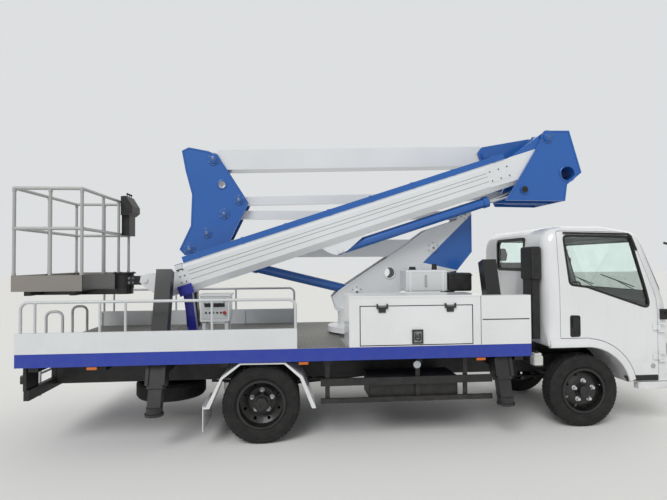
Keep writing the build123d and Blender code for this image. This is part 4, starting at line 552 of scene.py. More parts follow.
PANEL_GREY = Enamel("panel_grey_enamel", "#c3c7c9", Slot.PANEL, roughness=0.4, coat=0.2, dust=0.15,
                    dust_top=1400.0)
RAIL_GREY = Enamel("rail_grey_enamel", "#c9cccf", Slot.PANEL, roughness=0.35, coat=0.3, dust=0.15,
                   dust_top=1400.0)
BLACK_PLASTIC = Moulded("grained_black_plastic", BLACK, dust=0.08)
TRIM_GREY = Moulded("cab_trim_vinyl", "#26282b", Slot.TRIM, grain=4.0, roughness=0.6, dust=0.05)
TYRE_RUBBER = Moulded("tyre_rubber", "#121213", Slot.RUBBER, grain=8.0, depth=0.4, roughness=0.8, dust=0.07)
SEAL_RUBBER = Moulded("seal_rubber", "#101113", grain=5.0, depth=0.1, roughness=0.5, dust=0.1)
ZINC = Metal("zinc_plated_steel", "#e2e4e5", metallic=0.5)
BRIGHT_STEEL = Metal("bright_steel", "#a8abae", second="#6f7276", cell=20.0)
CHROME = Metal("hard_chrome", "#d4d7da", Slot.CHROME, roughness=0.06, second="#c6cacd", cell=40.0,
               rougher=0.12, metallic=1.0)
CLEAR_GLASS = Glazing("toughened_glass", "#e4edea")
REST_BLUE = Enamel("rest_blue_enamel", "#14209a", Slot.BLUE, roughness=0.35, coat=0.3, dust=0.1,
                   dust_top=1200.0)
# Grey of the strips of painted shadow below the boom's pressed lines.
SHADOW_GREY = Enamel("painted_shadow_grey_enamel", "#a5a9ac", roughness=0.4, coat=0.2, dust=0.2, dust_top=1500.0)
BASKET_GREY = Enamel("basket_grey_enamel", "#b0b2b1", Slot.STEEL,
                     (Zone(((0, 0, -1, -1638.5),), "#8c8782"), Zone(((0, 0, -1, -1477.5),), BLACK),
                      Zone(((1, 0, 0, -1757.0), (0, 0, -1, -1638.5)), BLACK)),
                     roughness=0.38, coat=0.2, dust=0.2, dust_top=1700.0)
CHEQUER = TreadPlate("chequered_steel_plate", "#6d6d69")
BOTTLE = Moulded("bottle_polyethylene", "#d9dbd6", Slot.WHITE, grain=8.0, depth=0.1, roughness=0.35,
                 dust=0.25)
STOP_RED = Moulded("red_button_plastic", "#b01a16", Slot.LAMP, grain=4.0, depth=0.05, roughness=0.3,
                   dust=0.05)
LENS_GREY = Moulded("frosted_lens", "#a9adb0", Slot.LAMP, grain=4.0, depth=0.1, roughness=0.15, dust=0.1)
AMBER_LENS = Moulded("amber_lens", "#d06a16", Slot.LAMP, grain=4.0, depth=0.1, roughness=0.2, dust=0.1)


# Shapes


def linked(name: str, data: bpy.types.ID) -> bpy.types.Object:
    """Makes an object and puts it in the scene.

    Args:
        name: The object's name.
        data: What it shows.

    Returns:
        The object.
    """
    made = bpy.data.objects.new(name, data)
    bpy.context.scene.collection.objects.link(made)
    return made


def circle(middle: Flat, radius: float, count: int, start: float = 0.0) -> list[Flat]:
    """Spreads places evenly round a circle.

    Args:
        middle: The circle's middle.
        radius: Its radius.
        count: Number of places.
        start: Angle of the first one, in degrees.

    Returns:
        The places.
    """
    angles = [math.radians(start) + math.tau * n / count for n in range(count)]
    return [(middle[0] + radius * math.cos(a), middle[1] + radius * math.sin(a)) for a in angles]


class Form:
    """Mesh under construction, in the truck's millimetres."""

    def __init__(self) -> None:
        """Starts an empty mesh."""
        self.mesh = bmesh.new()

    def faces(self, points: Sequence[Sequence[float]], rings: Iterable[Sequence[int]]) -> None:
        """Adds points and the faces between them.

        Args:
            points: Corners, in the truck's millimetres.
            rings: Corner numbers of each face.
        """
        made = [self.mesh.verts.new(at(*p)) for p in points]
        for ring in rings:
            self.mesh.faces.new([made[n] for n in ring])

    def box(self, low: Point, high: Point) -> None:
        """Adds a box between two opposite corners.

        Args:
            low: One corner.
            high: The other.
        """
        (x0, y0, z0), (x1, y1, z1) = low, high
        self.plate(((x0, z0), (x1, z0), (x1, z1), (x0, z1)), y0, y1)

    def plate(self, outline: Sequence[Flat], y0: float, y1: float) -> None:
        """Adds a plate with its outline in X and Z.

        Args:
            outline: Corners in X and Z, either way round.
            y0: One face.
            y1: The other.
        """
        self.prism([(x, y0, z) for x, z in outline], [(x, y1, z) for x, z in outline])

    def prism(self, first: Sequence[Point], last: Sequence[Point]) -> None:
        """Adds a closed form between two equal outlines.

        Args:
            first: Points of one end, going round.
            last: Points of the other end, in the same order.
        """
        count = len(first)
        rings = [list(range(count)), [count + n for n in range(count)]]
        rings += [[n, count + n, count + (n + 1) % count, (n + 1) % count] for n in range(count)]
        self.faces([*first, *last], rings)

    def skin(self, rings: Sequence[Sequence[Point]], closed: bool = True) -> None:
        """Joins rings of points into a closed surface.

        Args:
            rings: Rings with the same number of points each.
            closed: Whether the last ring joins the first; where it doesn't, both ends are capped.
        """
        count, total = len(rings[0]), len(rings)
        faces = [[k * count + n, k * count + (n + 1) % count, (k + 1) % total * count + (n + 1) % count,
                  (k + 1) % total * count + n] for k in range(total if closed else total - 1)
                 for n in range(count)]
        if not closed:
            faces += [list(range(count)), [(total - 1) * count + n for n in range(count)]]
        self.faces([point for ring in rings for point in ring], faces)

    def turned(self, profile: Sequence[Flat], centre: Point, axis: Vector, sides: int = 32,
               closed: bool = False) -> None:
        """Turns a profile about an axis.

        Args:
            profile: Radius and distance along the axis of each point.
            centre: A point on the axis.
            axis: Its direction.
            sides: Number of steps round.
            closed: True when the profile is a ring, so no end is capped.
        """
        along = axis.normalized()
        first = along.orthogonal().normalized()
        second = along.cross(first)
        rings = []
        for across, upward in circle((0, 0), 1, sides):
            spoke = first * across + second * upward
            rings.append([self.mesh.verts.new(at(*(Vector(centre) + along * y + spoke * r)))
                          for r, y in profile])
        last = len(profile) if closed else len(profile) - 1
        for step in range(sides):
            here, there = rings[step], rings[(step + 1) % sides]
            for n in range(last):
                m = (n + 1) % len(profile)
                self.mesh.faces.new((here[n], here[m], there[m], there[n]))
        if not closed:
            self.mesh.faces.new([ring[0] for ring in rings])
            self.mesh.faces.new([ring[-1] for ring in reversed(rings)])

    def bolt(self, place: Point, axis: Vector, size: float, height: float) -> None:
        """Adds a hexagon head on a round washer.

        Args:
            place: Middle of the face that it sits on.
            axis: Direction that it stands in.
            size: Radius over its corners.
            height: Height of the head.
        """
        self.turned([(size * 1.35, -1.0), (size * 1.35, height * 0.2)], place, axis, 20)
        self.turned([(size, 0.0), (size, height * 0.85), (size * 0.86, height)], place, axis, 6)

    def tube(self, points: Sequence[Point], radius: float, sides: int = 12) -> None:
        """Sweeps a round section along a line of points.

        Args:
            points: The line, close points where it bends.
            radius: Radius of the section.
            sides: Number of steps round.
        """
        line = [Vector(p) for p in points]
        last = len(line) - 1
        first = (line[1] - line[0]).orthogonal()
        rings = []
        for n, centre in enumerate(line):
            way = (line[min(n + 1, last)] - line[max(n - 1, 0)]).normalized()
            first = (first - way * first.dot(way)).normalized()
            second = way.cross(first)
            rings.append([centre + first * a + second * b for a, b in circle((0, 0), radius, sides)])
        self.skin(rings, closed=False)

    def bar(self, outline: Sequence[Flat], x0: float, x1: float) -> None:
        """Adds a bar along X with its outline in Y and Z.

        Args:
            outline: Corners in Y and Z, either way round.
            x0: One end.
            x1: The other.
        """
        self.prism([(x0, y, z) for y, z in outline], [(x1, y, z) for y, z in outline])

    def pillar(self, outline: Sequence[Flat], z0: float, z1: float) -> None:
        """Adds an upright with its outline in X and Y.

        Args:
            outline: Corners in X and Y, either way round.
            z0: Its foot.
            z1: Its top.
        """
        self.prism([(x, y, z0) for x, y in outline], [(x, y, z1) for x, y in outline])

    def shape(self, name: str) -> bpy.types.Object:
        """Turns the mesh into a bare shape, to cut with or to dress later.

        Args:
            name: The shape's name.

        Returns:
            The new object.
        """
        bmesh.ops.recalc_face_normals(self.mesh, faces=self.mesh.faces)
        data = bpy.data.meshes.new(name)
        self.mesh.to_mesh(data)
        self.mesh.free()
        return linked(name, data)

    def piece(self, name: str, finish: Finish, body: str = "truck", **look: float | Slot) -> bpy.types.Object:
        """Turns the mesh into a piece of the truck.

        Args:
            name: The piece's name.
            finish: Its finish.
            body: The body it rides on.
            look: Its edge, steps, smooth and slot, as dressed() says.

        Returns:
            The new object.
        """
        return dressed(self.shape(name), finish, body, **look)


def rounded(points: Sequence[Point], bend: float, steps: int = 6) -> list[Point]:
    """Rounds the corners of a line of points.

    Args:
        points: The line's corners.
        bend: Radius of each corner.
        steps: Number of short runs in each corner.

    Returns:
        The line with its corners as arcs.
    """
    line = [Vector(p) for p in points]
    made = [tuple(line[0])]
    for before, corner, after in zip(line, line[1:], line[2:]):
        one = (before - corner).normalized()
        two = (after - corner).normalized()
        half = one.angle(two) / 2
        back = min(bend / math.tan(half), (before - corner).length * 0.49, (after - corner).length * 0.49)
        start, end = corner + one * back, corner + two * back
        for step in range(steps + 1):
            t = step / steps
            made.append(tuple(start * (1 - t) ** 2 + corner * 2 * t * (1 - t) + end * t ** 2))
    made.append(tuple(line[-1]))
    return made


def carve(target: bpy.types.Object, cutters: Sequence[bpy.types.Object], kind: str = "DIFFERENCE") -> None:
    """Cuts closed shapes out of another and keeps the result as its mesh.

    Args:
        target: The shape that is cut.
        cutters: The shapes that cut it; they are used up.
        kind: DIFFERENCE to cut them away, INTERSECT to keep only what is inside.
    """
    for cutter in cutters:
        cut = target.modifiers.new("cut", "BOOLEAN")
        cut.operation = kind
        cut.solver = "EXACT"
        cut.object = cutter
    bpy.context.view_layer.update()
    made = bpy.data.meshes.new_from_object(target.evaluated_get(bpy.context.evaluated_depsgraph_get()))
    target.modifiers.clear()
    target.data = made
    for cutter in cutters:
        bpy.data.objects.remove(cutter)


def twin(shape: bpy.types.Object) -> bpy.types.Object:
    """Copies a shape with a mesh of its own.

    Args:
        shape: The shape to copy.

    Returns:
        The copy.
    """
    return linked(shape.name + "_twin", shape.data.copy())


def dressed(made: bpy.types.Object, finish: Finish, body: str = "truck", edge: float = 0.0, steps: int = 2,
            smooth: float = 35.0, slot: Slot | None = None) -> bpy.types.Object:
    """Gives a shape its finish, its soft edges and the body it rides on.

    Args:
        made: The shape.
        finish: Its finish.
        body: The body it rides on.
        edge: Width of the rounding on its sharp edges, in millimetres.
        steps: Number of steps in that rounding.
        smooth: Angle in degrees below which two faces shade as one.
        slot: The record's material slot, where it isn't the finish's own; not used.

    Returns:
        The same object.
    """
    made.data.materials.clear()
    made.data.materials.append(finish.material())
    if edge:
        rounding = made.modifiers.new("edges", "BEVEL")
        rounding.width = edge * MM
        rounding.segments = steps
        rounding.limit_method = "ANGLE"
        rounding.angle_limit = math.radians(smooth)
        rounding.harden_normals = True
    made.data.shade_smooth()
    made.data.set_sharp_from_angle(angle=math.radians(smooth))
    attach(made, body)
    log.info("piece %s on %s", made.name, body)
    return made


def soft_corners(corners: Sequence[Corner], steps: int = 6) -> list[Flat]:
    """Rounds each corner of a closed outline by its own radius.

    Args:
        corners: X, Z and radius of each corner, going round.
        steps: Number of short runs in each corner.

    Returns:
        The outline's points.
    """
    made = []
    for n, (x, z, radius) in enumerate(corners):
        corner = Vector((x, z))
        before = Vector(corners[n - 1][:2])
        after = Vector(corners[(n + 1) % len(corners)][:2])
        one, two = (before - corner).normalized(), (after - corner).normalized()
        back = min(radius / math.tan(one.angle(two) / 2), (before - corner).length * 0.49,
                   (after - corner).length * 0.49)
        start, end = corner + one * back, corner + two * back
        for step in range(steps + 1):
            t = step / steps
            p = start * (1 - t) ** 2 + corner * 2 * t * (1 - t) + end * t ** 2
            made.append((p.x, p.y))
    return made


def pane(low: Flat, high: Flat, radius: float) -> list[Flat]:
    """Draws a rectangle with round corners.

    Args:
        low: One corner.
        high: The opposite corner.
        radius: Radius of its corners.

    Returns:
        The outline's points.
    """
    (a, b), (c, d) = low, high
    return soft_corners(((a, b, radius), (c, b, radius), (c, d, radius), (a, d, radius)))


def dense(outline: Sequence[Flat], step: float) -> list[Flat]:
    """Adds points along the straight runs of a closed outline.

    Args:
        outline: Its points.
        step: Greatest distance between two points, in millimetres.

    Returns:
        The outline with the added points.
    """
    made = []
    for n, (x0, z0) in enumerate(outline):
        x1, z1 = outline[(n + 1) % len(outline)]
        runs = max(1, math.ceil(math.hypot(x1 - x0, z1 - z0) / step))
        made += [(x0 + (x1 - x0) * k / runs, z0 + (z1 - z0) * k / runs) for k in range(runs)]
    return made


def moved_in(outline: Sequence[Flat], by: Sequence[float] | float) -> list[Flat]:
    """Moves each point of a closed outline inwards.

    Args:
        outline: Its points, going round.
        by: Millimetres inwards, one number or one for each point; below 0 moves it outwards.

    Returns:
        The new points.
    """
    count = len(outline)
    area = sum(outline[n - 1][0] * outline[n][1] - outline[n][0] * outline[n - 1][1] for n in range(count))
    turn = 1.0 if area > 0 else -1.0
    made = []
    for n, (x, z) in enumerate(outline):
        before, after = outline[n - 1], outline[(n + 1) % count]
        along = Vector((after[0] - before[0], after[1] - before[1])).normalized()
        share = by if isinstance(by, (int, float)) else by[n]
        made.append((x - turn * along.y * share, z + turn * along.x * share))
    return made


def eased(value: float, low: float, high: float) -> float:
    """Rises smoothly from 0 at one level to 1 at another.

    Args:
        value: The level.
        low: Where the result is 0.
        high: Where it is 1.

    Returns:
        A share from 0 to 1.
    """
    t = min(max((value - low) / (high - low), 0.0), 1.0)
    return t * t * (3 - 2 * t)


# Carried-over nodes


@dataclass
class Carried:
    """CAD nodes that keep their shape and get their real finish.

    Attributes:
        finishes: The finish of each node.
    """

    finishes: dict[str, Finish] = field(default_factory=dict)

    def dress(self) -> None:
        """Gives every node in the list its finish."""
        for name, finish in self.finishes.items():
            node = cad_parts[name]
            node.data.materials.clear()
            node.data.materials.append(finish.material())
            log.info("node %s finished in %s", name, finish.name)


TOWER_PAINT = Enamel("tower_enamel", "#e3e6e9",
                     zones=(Zone(((1, 0, -1.038, 38.1), (0.2197, 0, 1, 2137.8)), LIFT_BLUE),),
                     roughness=0.3, coat=0.5, dust=0.12, dust_top=1700.0)
BOOM_TOP = (-math.sin(math.radians(18.0)), 0.0, math.cos(math.radians(18.0)))
BOOM_TOP_AT = BOOM_TOP[0] * 3182.0 + BOOM_TOP[2] * 3144.0 - 84.0
BOOM_PAINT = Enamel("boom_enamel", "#e3e6e9", zones=(Zone(((*BOOM_TOP, BOOM_TOP_AT),), LIFT_BLUE),),
                    roughness=0.3, coat=0.5, dust=0.1, dust_top=1900.0)
LAMP_UNIT = Moulded("lamp_housing", "#1c1d1f", Slot.LAMP, grain=10.0, depth=0.05, roughness=0.25, dust=0.1)
CABINET_PAINT = Enamel("cabinet_enamel", WHITE, zones=(Zone(((0, -1, 0, 1000.6),), BLACK),), roughness=0.3,
                       coat=0.5, dust=0.15, dust_top=1250.0)
POWER_PAINT = Enamel("power_pack_enamel", "#d9dcde", zones=(Zone(((1, 0, 0, 2016.0),), "#1d1f21"),),
                     roughness=0.4, coat=0.2, dust=0.15, dust_top=1700.0)
CAB_PAINT = Enamel("cab_enamel", WHITE, roughness=0.2, coat=0.8, dust=0.35, dust_top=850.0)

CORNERS = ("rear_left", "rear_right", "front_left", "front_right")
CARRIED = Carried({
    **{name: CHASSIS_BLACK for name in ("ladder_frame", "subframe", "axles", "engine_and_exhaust",
                                        "side_boxes", "guards", "basket_bracket")},
    **{"steering_knuckle_" + side: CHASSIS_BLACK for side in SIDES.values()},
    **{"outrigger_leg_" + corner: LEG_GREY for corner in CORNERS},
    "outrigger_sleeves": LEG_GREY,
    **{kind + side: RIM_BLACK for kind in ("front_rim_", "rear_rims_") for side in SIDES.values()},
    "spare_wheel": TYRE_RUBBER, "lamps": LAMP_UNIT, "deck": DECK_EDGE, "side_boards": BOARD_WHITE,
    "rails_and_ladder": RAIL_GREY, "cabinet": CABINET_PAINT, "cabinet_door": CABINET_PAINT,
    "mudguards": BODY_WHITE, "cab_glass": CLEAR_GLASS, "cab_interior": TRIM_GREY,
    **{"cab_door_glass_" + side: CLEAR_GLASS for side in SIDES.values()},
    **{name: BLACK_PLASTIC for name in ("mirrors", "air_intake", "basket_console")},
    **{name: ARM_WHITE for name in ("arm_1", "rod_1", "arm_2", "rod_2", "boom_middle", "boom_tip")},
    **{name: ELBOW_BLUE for name in ("elbow_a", "elbow_b", "luff_barrel", "lift_barrel", "elbow_barrel")},
    **{name: CHROME for name in ("luff_rod", "lift_rod", "elbow_rod")},
    "tower": TOWER_PAINT, "boom_base": BOOM_PAINT, "basket": BASKET_GREY, "boom_rest": REST_BLUE,
    "control_station": POWER_PAINT,
})


# Cab


@dataclass
class Cab:
    """Forward-control cab: a hollow shell with soft edges, two doors, rubber seals and its front.

    Attributes:
        axle_x: The front axle.
        half: Half the cab's width at the waist.
        wall: Thickness of a wall.
        waist: Height where the sides start to lean in.
        top: Height where the lean ends.
        lean: How far the sides lean in at that height.
        rear_edge: Radius of the edges at the rear.
        front_edge: Radius of the edges at the front.
        low_edge: Radius of the edges near the sill.
        inner_corner: Least radius of the hollow's corners, so that it never folds over.
        arch: Radius of the wheel arch.
        lip: Width of the flare round the arch.
        door_gap: Gap round a door.
        tyre: Radius of the tyre, so the axle's height.
        outline: X, Z and radius of the cab's corners from the side.
        door: The same of a door.
        window: The same of a door's window.
        screen: Y, Z and radius of the windscreen's corners.
        rear_window: Two corners of the rear window in Y and Z, and the radius of all four.
    """

    axle_x: float = 3360.0
    half: float = 848.0
    wall: float = 38.0
    waist: float = 1440.0
    top: float = 2158.0
    lean: float = 62.0
    rear_edge: float = 125.0
    front_edge: float = 140.0
    low_edge: float = 16.0
    inner_corner: float = 160.0
    arch: float = 470.0
    lip: float = 78.0
    door_gap: float = 6.0
    tyre: float = 375.0
    outline: tuple[Corner, ...] = (
        (2943, 850, 45), (2943, 2118, 230), (3650, 2118, 500), (3975, 2062, 140), (4050, 2008, 140),
        (4290, 1330, 300), (4330, 1150, 300), (4330, 468, 50), (3790, 468, 45), (3380, 840, 10))
    door: tuple[Corner, ...] = (
        (3080, 942, 14), (3080, 2062, 46), (3900, 2046, 60), (4138, 1345, 60), (4150, 1200, 60),
        (4150, 478, 24), (3700, 478, 14), (3400, 942, 14))
    window: tuple[Corner, ...] = (
        (3152, 2010, 44), (3194, 1498, 46), (3377, 1473, 60), (4075, 1235, 52), (3893, 1998, 60))
    screen: tuple[Corner, ...] = (
        (-755, 1395, 60), (755, 1395, 60), (700, 1965, 60), (-700, 1965, 60))
    rear_window: tuple[Flat, Flat, float] = ((-345, 1655), (345, 1990), 46)

    def side_y(self, z: float) -> float:
        """Gives the distance of the side from the middle.

        Args:
            z: The height.

        Returns:
            The distance.
        """
        return self.half - self.lean * min(max((z - self.waist) / (self.top - self.waist), 0.0), 1.0)

    def edge(self, x: float, z: float) -> float:
        """Gives the radius of the long edge at a point of the outline.

        Args:
            x: The point's X.
            z: Its height.

        Returns:
            The radius.
        """
        full = self.rear_edge + (self.front_edge - self.rear_edge) * eased(x, 3000.0, 4300.0)
        foot = 500.0 if x > self.axle_x + 300 else 870.0
        return self.low_edge + (full - self.low_edge) * eased(z, foot, foot + 220)

    def form(self, inset: float) -> bpy.types.Object:
        """Builds the closed form of the cab, drawn in by an inset, over its tunnel and arches.

        Args:
            inset: Millimetres inwards.

        Returns:
            The form as a bare shape.
        """
        corners = [(x, z, max(radius, self.inner_corner) if inset else radius)
                   for x, z, radius in self.outline]
        outline = moved_in(dense(soft_corners(corners), 120.0), inset)
        radii = [max(self.edge(x, z) - inset, 6.0) for x, z in outline]
        made = Form()
        rings = []
        levels = 6
        half = self.half - inset
        sweep = [math.radians(90 * k / levels) for k in range(levels + 1)]
        for side, steps in ((1, sweep), (-1, list(reversed(sweep)))):
            for angle in steps:
                points = moved_in(outline, [r * (1 - math.sin(angle)) for r in radii])
                rings.append([(x, side * (half - r * (1 - math.cos(angle))), z)
                              for (x, z), r in zip(points, radii)])
        made.skin(rings, closed=False)
        for z in (self.waist, 1640.0, 1840.0):
            found = made.mesh.verts[:] + made.mesh.edges[:] + made.mesh.faces[:]
            bmesh.ops.bisect_plane(made.mesh, geom=found, plane_co=at(0, 0, z), plane_no=(0, 0, 1))
        for corner in made.mesh.verts:
            corner.co.y *= (self.side_y(corner.co.z / MM) / self.half)
        shape = made.shape("cab_form")
        tunnel = Form()
        tunnel.box((2800, -400 - inset, 300), (4254 + inset, 400 + inset, 850 + inset))
        well = Form()
        well.turned([(self.arch + inset, -1000), (self.arch + inset, 1000)], (self.axle_x, 0, self.tyre),
                    LEFT, 96)
        carve(shape, [tunnel.shape("tunnel"), well.shape("well")])
        return shape

    def door_prism(self, side: int, grow: float) -> bpy.types.Object:
        """Prism of one door, clear of the arch flare.

        Args:
            side: 1 for the left door, -1 for the right.
            grow: Millimetres outwards.

        Returns:
            The prism as a bare shape.
        """
        prism = Form()
        prism.plate(moved_in(soft_corners(self.door), -grow), side * 690, side * 950)
        shape = prism.shape("door_prism")
        well = Form()
        well.turned([(self.arch + self.lip + 14 - grow, -1100), (self.arch + self.lip + 14 - grow, 1100)],
                    (self.axle_x, 0, self.tyre), LEFT, 96)
        carve(shape, [well.shape("well")])
        return shape

    def band(self, outline: Sequence[Flat], grow: float, shrink: float, side: int, low: float,
             high: float) -> Form:
        """Builds a band that follows a closed outline on the cab's side.

        Args:
            outline: The outline that it follows.
            grow: How far it reaches outside the outline.
            shrink: How far it reaches inside.
            side: 1 for the left side, -1 for the right.
            low: Its inner face, from the side's skin.
            high: Its outer face, from the side's skin.

        Returns:
            The band.
        """
        line = dense(outline, 90.0)
        outer, inner = moved_in(line, -grow), moved_in(line, shrink)
        made = Form()
        made.skin([[(x, side * (self.side_y(z) + proud), z) for x, z in ring]
                   for ring, proud in ((outer, low), (outer, high), (inner, high), (inner, low))])
        return made

    def flare(self, side: int) -> Form:
        """Builds the flare along the rear sill and round the front of the wheel arch.

        Args:
            side: 1 for the left side, -1 for the right.

        Returns:
            The flare.
        """
        across = ((0, -26), (0, 16), (6, 24), (16, 26), (40, 25), (46, 18), (74, 13), (78, 8), (78, -26))
        spine = [((x, self.tyre + self.arch), (0.0, 1.0)) for x in (2960.0, 3160.0)]
        for step in range(33):
            angle = math.radians(90 - 76.5 * step / 32)
            c, s = math.cos(angle), math.sin(angle)
            spine.append(((self.axle_x + self.arch * c, self.tyre + self.arch * s), (c, s)))
        made = Form()
        made.skin([[(x + out * nx, side * (self.half + proud), z + out * nz) for out, proud in across]
                   for (x, z), (nx, nz) in spine], closed=False)
        return made

    def hinge(self, door: Form, shell: Form, side: int) -> None:
        """Adds the knuckles of one door to the door and to the shell.

        Args:
            door: The door's metalwork.
            shell: The shell's metalwork.
            side: 1 for the left door, -1 for the right.
        """
        pin_x, pin_y = 4152.0, side * 872
        for z in (700.0, 1010.0):
            door.turned([(12.5, 0), (12.5, 60)], (pin_x, pin_y, z), UP, 24)
            door.box((pin_x - 60, side * 848, z), (pin_x - 2, side * 862, z + 60))
            for low_z in (z - 19, z + 62):
                shell.turned([(9.5, 0), (9.5, 17)], (pin_x, pin_y, low_z), UP, 24)
                shell.box((pin_x, side * 842, low_z), (pin_x + 67, side * 880, low_z + 17))

    def shell(self) -> None:
        """Makes the hollow shell and both doors from one form, so that their skins line up."""
        whole = self.form(0.0)
        carve(whole, [self.form(self.wall)])
        for side, name in SIDES.items():
            body = "cab_door_" + name
            door = twin(whole)
            door.name = body + "_panel"
            carve(door, [self.door_prism(side, 0.0)], "INTERSECT")
            opening = Form()
            opening.plate(soft_corners(self.window), side * 600, side * 1000)
            carve(door, [opening.shape("window")])
            dressed(door, CAB_PAINT, body, smooth=28.0)
            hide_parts(body)
            gap = self.door_prism(side, self.door_gap)
            carve(whole, [gap])
            self.trim(side, body)
        screen = Form()
        screen.bar(soft_corners(self.screen), 3850, 4400)
        rear = Form()
        rear.bar(pane(*self.rear_window), 2880, 3030)
        carve(whole, [screen.shape("screen"), rear.shape("rear")])
        whole.name = "cab_skin"
        dressed(whole, CAB_PAINT, smooth=28.0)
        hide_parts("cab_shell")

    def trim(self, side: int, body: str) -> None:
        """Makes one side's seals, handle, visor, sill strip, flare and hinges.

        Args:
            side: 1 for the left side, -1 for the right.
            body: The door's body.
        """
        name = SIDES[side]
        window = soft_corners(self.window)
        seal = self.band(window, 13, 9, side, -30.0, 2.2)
        seal.piece("door_window_seal_" + name, SEAL_RUBBER, body, edge=1.5)
        visor = Form()
        top = [(3148, 2030), (3148, 2052), (3878, 2038), (3912, 2010), (3965, 1856), (3945, 1850),
               (3893, 1990), (3866, 2016)]
        visor.prism(*([(x, side * (self.side_y(z) + proud), z) for x, z in top] for proud in (-2, 13)))
        visor.piece("door_rain_visor_" + name, BLACK_PLASTIC, body, edge=3.0)
        dish = soft_corners(((3182, 950, 26), (3182, 1180, 26), (3296, 1176, 26), (3296, 954, 26)))
        recess = self.band(dish, 0, 12, side, -14.0, 3.0)
        recess.piece("door_handle_rim_" + name, BLACK_PLASTIC, body, edge=2.0)
        bottom = Form()
        bottom.plate(moved_in(dish, 6), side * (self.half - 12), side * (self.half + 0.6))
        bottom.piece("door_handle_dish_" + name, SEAL_RUBBER, body)
        grip = Form()
        grip.plate(soft_corners(((3206, 1046, 10), (3206, 1160, 16), (3272, 1160, 16), (3272, 1046, 10))),
                   side * (self.half + 1), side * (self.half + 14))
        grip.turned([(9, 0), (9, 5), (7, 6)], (3240, side * self.half, 1000), LEFT * side, 24)
        grip.piece("door_handle_grip_" + name, BLACK_PLASTIC, body, edge=4.0, steps=3)
        sill = Form()
        strip = soft_corners(((3800, 482, 6), (3756, 540, 10), (4146, 540, 8), (4146, 482, 6)))
        sill.plate(strip, side * (self.half - 4), side * (self.half + 5))
        sill.piece("door_sill_strip_" + name, BLACK_PLASTIC, body, edge=2.0)
        marker = Form()
        marker.turned([(25, -3), (25, 5), (18, 8), (18, 5), (4, 6)], (4092, side * self.half, 634),
                      LEFT * side, 32)
        marker.piece("door_marker_lamp_" + name, LENS_GREY, body)
        self.flare(side).piece("arch_flare_" + name, CAB_PAINT, smooth=25.0)
        leaf, ears = Form(), Form()
        self.hinge(leaf, ears, side)
        leaf.piece("door_hinge_leaf_" + name, CAB_PAINT, body, edge=1.5)
        ears.piece("door_hinge_ears_" + name, CAB_PAINT, edge=1.5)

    def seals(self) -> None:
        """Makes the thick rubber round the rear window and the windscreen's seal."""
        line = pane(*self.rear_window)
        outer, inner = moved_in(line, -26), moved_in(line, 8)
        made = Form()
        made.skin([[(x, y, z) for y, z in ring]
                   for ring, x in ((outer, 2966.0), (outer, 2938.5), (inner, 2938.5), (inner, 2966.0))])
        made.piece("rear_window_seal", SEAL_RUBBER, edge=3.0)
        line = dense(soft_corners(self.screen), 90.0)
        outer, inner = moved_in(line, -14), moved_in(line, 16)
        made = Form()
        made.skin([[(self.front_x(z) - deep, y, z) for y, z in ring]
                   for ring, deep in ((outer, 8.0), (outer, 1.5), (inner, 1.5), (inner, 8.0))])
        made.piece("windscreen_seal", SEAL_RUBBER, edge=1.0)

    def front_x(self, z: float) -> float:
        """Gives the place of the front's skin.

        Args:
            z: A height above the waist.

        Returns:
            Its X.
        """
        (x0, z0), (x1, z1) = (4290.0, 1330.0), (4050.0, 2008.0)
        return x0 + (x1 - x0) * (z - z0) / (z1 - z0) + 1.5

    def front(self) -> None:
        """Makes the bumper, grille, lamps' lenses and wipers of the front."""
        bumper = Form()
        plan = soft_corners(((3930, -846, 20), (3930, -760, 20), (4331, -700, 60), (4331, 700, 60),
                             (3930, 760, 20), (3930, 846, 20), (4375, 846, 110), (4375, -846, 110)), 8)
        bumper.pillar(plan, 392.0, 466.0)
        upper = soft_corners(((4331, -846, 5), (4331, 846, 5), (4375, 846, 42), (4375, -846, 42)), 8)
        bumper.pillar(upper, 464.0, 690.0)
        bumper.piece("bumper_skin", CAB_PAINT, edge=10.0, steps=3)
        mouth = Form()
        slit = soft_corners(((4372, -520, 4), (4372, 520, 4), (4376.5, 520, 2), (4376.5, -520, 2)))
        mouth.pillar(slit, 500.0, 590.0)
        for side in (-1, 1):
            mouth.turned([(44, 0), (44, 5), (38, 6)], (4370, side * 640, 560), FORWARD, 32)
        mouth.piece("bumper_mouth", BLACK_PLASTIC, edge=1.0)
        grille = Form()
        for z in (866, 912, 958, 1004):
            grille.box((4331, -420, z), (4346, 420, z + 12))
        for y in (-420, -140, 140, 408):
            grille.box((4331, y, 862), (4343, y + 12, 1018))
        grille.piece("grille_bars", BLACK_PLASTIC, edge=3.0)
        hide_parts("front_bumper")
        for side in (-1, 1):
            name = SIDES[side]
            lens = Form()
            lens.bar(pane((side * 512, 722), (side * 803, 838), 24), 4364, 4369)
            lens.piece("headlamp_lens_" + name, CLEAR_GLASS, edge=2.0)
            bowl = Form()
            for y in (590, 705):
                bowl.turned([(50, 0), (46, 1.5), (20, 1.5)], (4363.5, side * y, 780), FORWARD, 36)
            bowl.piece("headlamp_bowls_" + name, CHROME)
            amber = Form()
            amber.bar(pane((side * 762, 728), (side * 800, 832), 8), 4363, 4367)
            amber.piece("front_indicator_" + name, AMBER_LENS, edge=1.0)
        wipers = Form()
        for y in (-430, 330):
            foot, tip, low, high = ((self.front_x(z) + off, y + along, z) for along, z, off in (
                (0, 1372, 14), (330, 1500, 14), (60, 1440, 8), (590, 1570, 8)))
            wipers.turned([(17, -30), (17, 4), (12, 10)], foot, Vector((1, 0, 0.34)), 20)
            wipers.tube([foot, tip], 5.5, 8)
            wipers.tube([low, high], 6.5, 8)
        wipers.piece("wipers", BLACK_PLASTIC)

